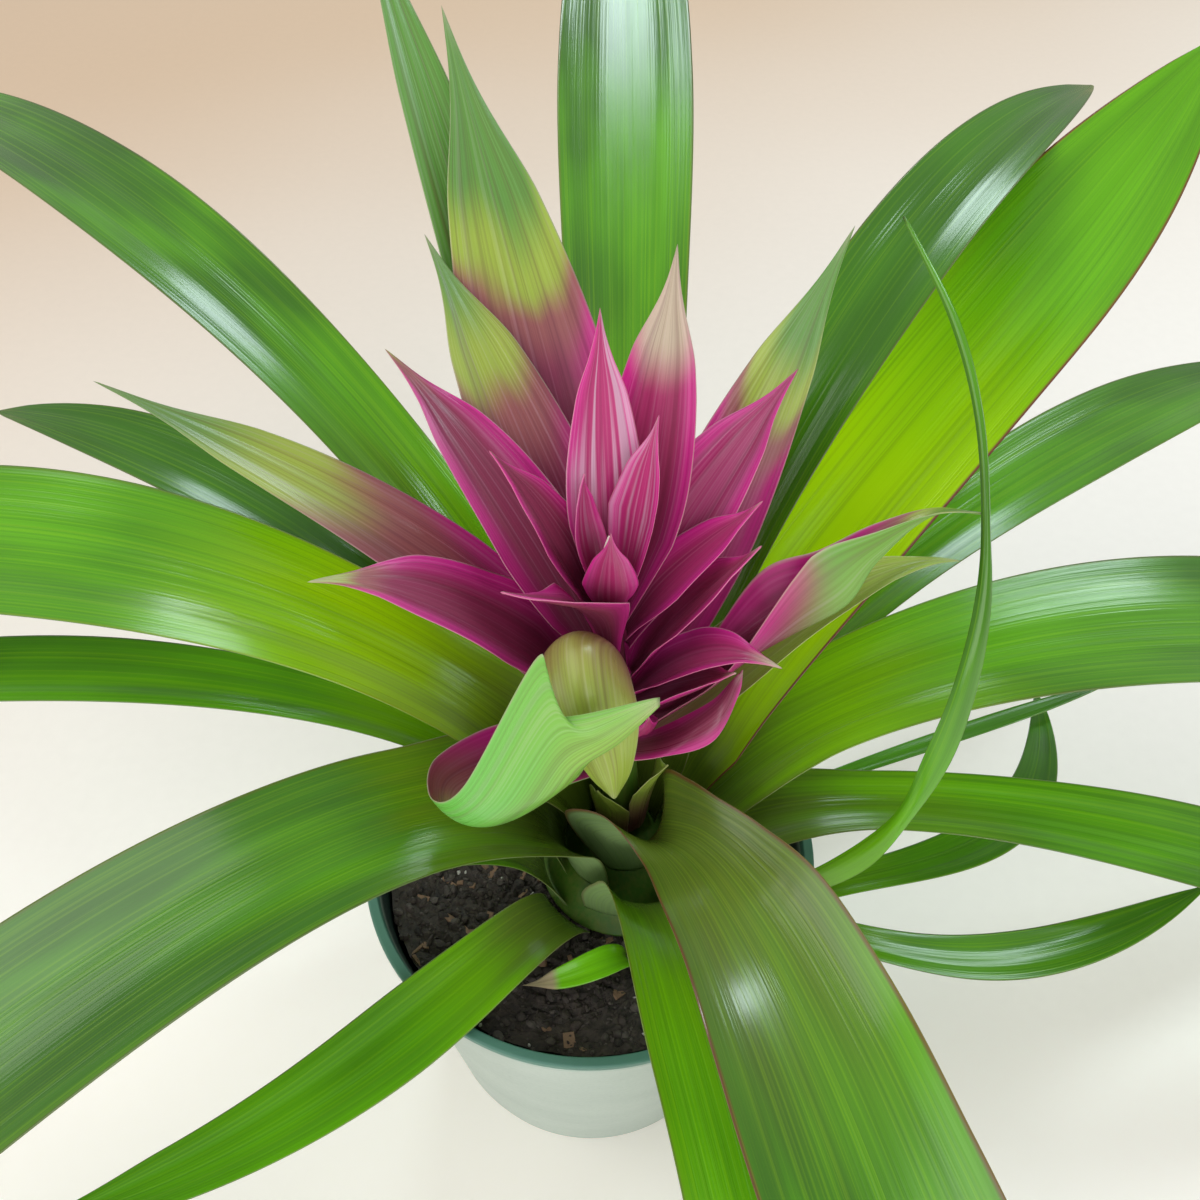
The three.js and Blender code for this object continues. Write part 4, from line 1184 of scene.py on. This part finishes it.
class GuzmaniaMixSettings(bpy.types.PropertyGroup):
    """Sizes and colours of the potting mix."""

    crumb_size: length_property("Crumb size", 0.0008, "Radius of a middling crumb")
    fine: number_property("Fine", 260000, "Fine crumbs for each square metre")
    coarse: number_property("Coarse", 42000, "Lumps for each square metre")
    chips: number_property("Chips", 12000, "Bark chips for each square metre")
    seed: count_property("Seed", 11, "Seed of the scattering")
    dark_colour: colour_property("Dark", (34, 31, 30), "Damp peat")
    brown_colour: colour_property("Brown", (84, 74, 68), "Drier peat")
    grey_colour: colour_property("Grey", (112, 104, 100), "Dry crumbs")
    bark_colour: colour_property("Bark", (150, 118, 94), "Bark chips")
    perlite_colour: colour_property("Perlite", (206, 204, 198), "White grains")


class GuzmaniaStageSettings(bpy.types.PropertyGroup):
    """Floor, lights and camera."""

    floor_near: colour_property("Near floor", (248, 242, 237), "Floor near the viewer")
    # Far floor: painted shade where the light falls off
    floor_far_shade: colour_property("Far floor", (212, 184, 158), "Floor away from the viewer")
    lens: bpy.props.FloatProperty(name="Lens", description="Focal length", default=36.09, unit="CAMERA")
    sky: number_property("Sky", 0.42, "Strength of the light from all round")
    key: number_property("Key", 37, "Power of the large soft light at the left")
    front: number_property("Front", 31, "Power of the large soft light behind the camera")
    window: number_property("Window", 10, "Power of the window behind the plant")
    side: number_property("Side window", 15, "Power of the tall window at the right")


# Operators

FLOOR_REACH = 4.0
SKY_COLOUR = (1.0, 0.985, 0.955, 1.0)
CAMERA_PLACE = (0.003, -0.183, 0.4123)
CAMERA_TILT = math.radians(42.25)
LIT_PLACE = Vector((0.0, 0.05, 0.15))

# Each light's setting, place, width, height and colour
LIGHTS = [
    ("key", (-2.0, -0.5, 1.9), 2.4, 2.4, (1.0, 0.99, 0.97)),
    ("front", (0.3, -2.3, 1.3), 2.0, 2.0, (1.0, 0.99, 0.98)),
    ("window", (0.0, 1.9, 1.4), 0.6, 0.6, (0.80, 0.97, 1.0)),
    ("side", (1.31, 0.75, 1.9), 0.25, 1.4, (0.80, 0.97, 1.0)),
]


class GUZMANIA_OT_leaves(bpy.types.Operator):
    """Builds the rosette's leaves"""

    bl_idname = "guzmania.leaves"
    bl_label = "Leaves"

    def execute(self, context):
        settings = context.scene.guzmania_leaf
        material = leaf_finish(settings)
        tree = blade_tree()
        for i, row in enumerate(LEAVES):
            foot = (FIRST_FOOT[0] + LEAF_LAYER[0] * i, FIRST_FOOT[1] + LEAF_LAYER[1] * i)
            add_blade(tree, row, foot, settings, material, "leaf")
        for row in SHOOT_LEAVES:
            add_blade(tree, row, None, settings, material, "leaf")
        return {"FINISHED"}


class GUZMANIA_OT_bracts(bpy.types.Operator):
    """Builds the bracts of the flower head"""

    bl_idname = "guzmania.bracts"
    bl_label = "Bracts"

    def execute(self, context):
        settings = context.scene.guzmania_bract
        material = bract_finish(settings)
        tree = bpy.data.node_groups.get("Blade") or blade_tree()
        for i, row in enumerate(BRACTS):
            step = i - SHEATH_BRACTS
            foot = (FIRST_BRACT[0] + BRACT_LAYER[0] * step, FIRST_BRACT[1] + BRACT_LAYER[1] * step)
            add_blade(tree, row, foot, settings, material, "bract")
        return {"FINISHED"}


class GUZMANIA_OT_stem(bpy.types.Operator):
    """Builds the stem and the flower bud"""

    bl_idname = "guzmania.stem"
    bl_label = "Stem and Bud"

    def execute(self, context):
        settings = context.scene.guzmania_stem
        top = LIP_HEIGHT
        last = len(LEAVES) - 1
        first_seat = FIRST_FOOT[0] * SEAT_SHARE - SEAT_GAP
        last_seat = (FIRST_FOOT[0] + LEAF_LAYER[0] * last) * SEAT_SHARE - SEAT_GAP
        last_height = FIRST_FOOT[1] + LEAF_LAYER[1] * last
        heights = [
            (0, PEG_FOOT), (PEG_RADIUS, PEG_FOOT), (PEG_RADIUS, MIX_LEVEL), (first_seat, MIX_LEVEL),
            (first_seat, FIRST_FOOT[1]), (last_seat, last_height), (5.6, last_height + 2), (4.0, 60),
            (2.8, 90), (1.95, STEM_TOP), (0, STEM_TOP + 1),
        ]
        outline = rounded([(radius * MM, top + height * MM) for radius, height in heights], STEM_ROUNDING)

        def centre(z):
            return AXIS_X + LEAN * max(z - top, -0.009), 0.0

        stem = turned("stem_body", outline, STEM_SIDES, centre)
        stem.data.materials.append(stem_finish(settings))
        stand_for(stem, "stem")

        foot = top + (STEM_TOP + 1.3) * MM
        outline = rounded([(radius * MM, foot + height * MM) for radius, height in BUD_OUTLINE], BUD_ROUNDING)
        bud = turned("flower_bud_petals", outline, BUD_SIDES, lambda z: (on_axis(STEM_TOP), 0.0))
        bud.data.materials.append(bud_finish(settings))
        stand_for(bud, "flower_bud")
        return {"FINISHED"}


class GUZMANIA_OT_mix(bpy.types.Operator):
    """Fills the pot with potting mix"""

    bl_idname = "guzmania.mix"
    bl_label = "Potting Mix"

    def execute(self, context):
        settings = context.scene.guzmania_mix
        tree = crumb_tree()
        values = {
            "Fine": settings.fine, "Coarse": settings.coarse, "Chips": settings.chips, "Seed": settings.seed,
            "Crumb Size": settings.crumb_size, "Material": mix_finish(settings),
        }
        piece = made_by(tree, "potting_mix_fill", values, mix_bed())
        stand_for(piece, "potting_mix")
        return {"FINISHED"}


class GUZMANIA_OT_pot(bpy.types.Operator):
    """Builds the pot"""

    bl_idname = "guzmania.pot"
    bl_label = "Pot"

    def execute(self, context):
        settings = context.scene.guzmania_pot
        piece = make_pot(settings)
        piece.data.materials.append(pot_finish(settings))
        stand_for(piece, "pot")
        return {"FINISHED"}


class GUZMANIA_OT_stage(bpy.types.Operator):
    """Lays the floor and sets the lights and the camera"""

    bl_idname = "guzmania.stage"
    bl_label = "Stage"

    def execute(self, context):
        scene = context.scene
        settings = scene.guzmania_stage
        data = bpy.data.meshes.new("floor")
        corners = [(x * FLOOR_REACH, y * FLOOR_REACH, 0) for x, y in ((-1, -1), (1, -1), (1, 1), (-1, 1))]
        data.from_pydata(corners, [], [(0, 1, 2, 3)])
        data.materials.append(floor_finish(settings))
        linked("floor", data)

        world = bpy.data.worlds.new("Sky")
        world.use_nodes = True
        background = world.node_tree.nodes["Background"]
        background.inputs["Color"].default_value = SKY_COLOUR
        background.inputs["Strength"].default_value = settings.sky
        scene.world = world

        for name, place, width, height, colour in LIGHTS:
            light = bpy.data.lights.new(name, "AREA")
            light.shape = "RECTANGLE"
            light.energy = getattr(settings, name)
            light.size = width
            light.size_y = height
            light.color = colour
            lamp = linked(name, light)
            lamp.location = place
            lamp.rotation_euler = (LIT_PLACE - Vector(place)).to_track_quat("-Z", "Y").to_euler()

        camera = bpy.data.cameras.new("Camera")
        camera.lens = settings.lens
        camera.sensor_width = 36
        camera.clip_start = 0.01
        scene.camera = linked("Camera", camera)
        scene.camera.location = CAMERA_PLACE
        scene.camera.rotation_euler = (CAMERA_TILT, 0, 0)
        scene.view_settings.view_transform = "Standard"
        return {"FINISHED"}


class GUZMANIA_PT_panel(bpy.types.Panel):
    """Lists the steps that build the plant"""

    bl_label = "Guzmania"
    bl_idname = "GUZMANIA_PT_panel"
    bl_space_type = "VIEW_3D"
    bl_region_type = "UI"
    bl_category = "Guzmania"

    def draw(self, context):
        for operator in OPERATORS:
            self.layout.operator(operator.bl_idname)
        for name in SETTINGS:
            box = self.layout.box()
            group = getattr(context.scene, name)
            for key in group.__annotations__:
                box.prop(group, key)


SETTINGS = {
    "guzmania_leaf": GuzmaniaLeafSettings,
    "guzmania_bract": GuzmaniaBractSettings,
    "guzmania_stem": GuzmaniaStemSettings,
    "guzmania_pot": GuzmaniaPotSettings,
    "guzmania_mix": GuzmaniaMixSettings,
    "guzmania_stage": GuzmaniaStageSettings,
}
OPERATORS = [
    GUZMANIA_OT_stage, GUZMANIA_OT_pot, GUZMANIA_OT_mix, GUZMANIA_OT_stem, GUZMANIA_OT_leaves,
    GUZMANIA_OT_bracts,
]


def register():
    for group in SETTINGS.values():
        bpy.utils.register_class(group)
    for name, group in SETTINGS.items():
        setattr(bpy.types.Scene, name, bpy.props.PointerProperty(type=group))
    for operator in OPERATORS:
        bpy.utils.register_class(operator)
    bpy.utils.register_class(GUZMANIA_PT_panel)


def unregister():
    bpy.utils.unregister_class(GUZMANIA_PT_panel)
    for operator in reversed(OPERATORS):
        bpy.utils.unregister_class(operator)
    for name, group in SETTINGS.items():
        delattr(bpy.types.Scene, name)
        bpy.utils.unregister_class(group)


def main():
    register()
    bpy.ops.guzmania.stage()
    bpy.ops.guzmania.pot()
    bpy.ops.guzmania.mix()
    bpy.ops.guzmania.stem()
    bpy.ops.guzmania.leaves()
    bpy.ops.guzmania.bracts()


if __name__ == "__main__":
    main()
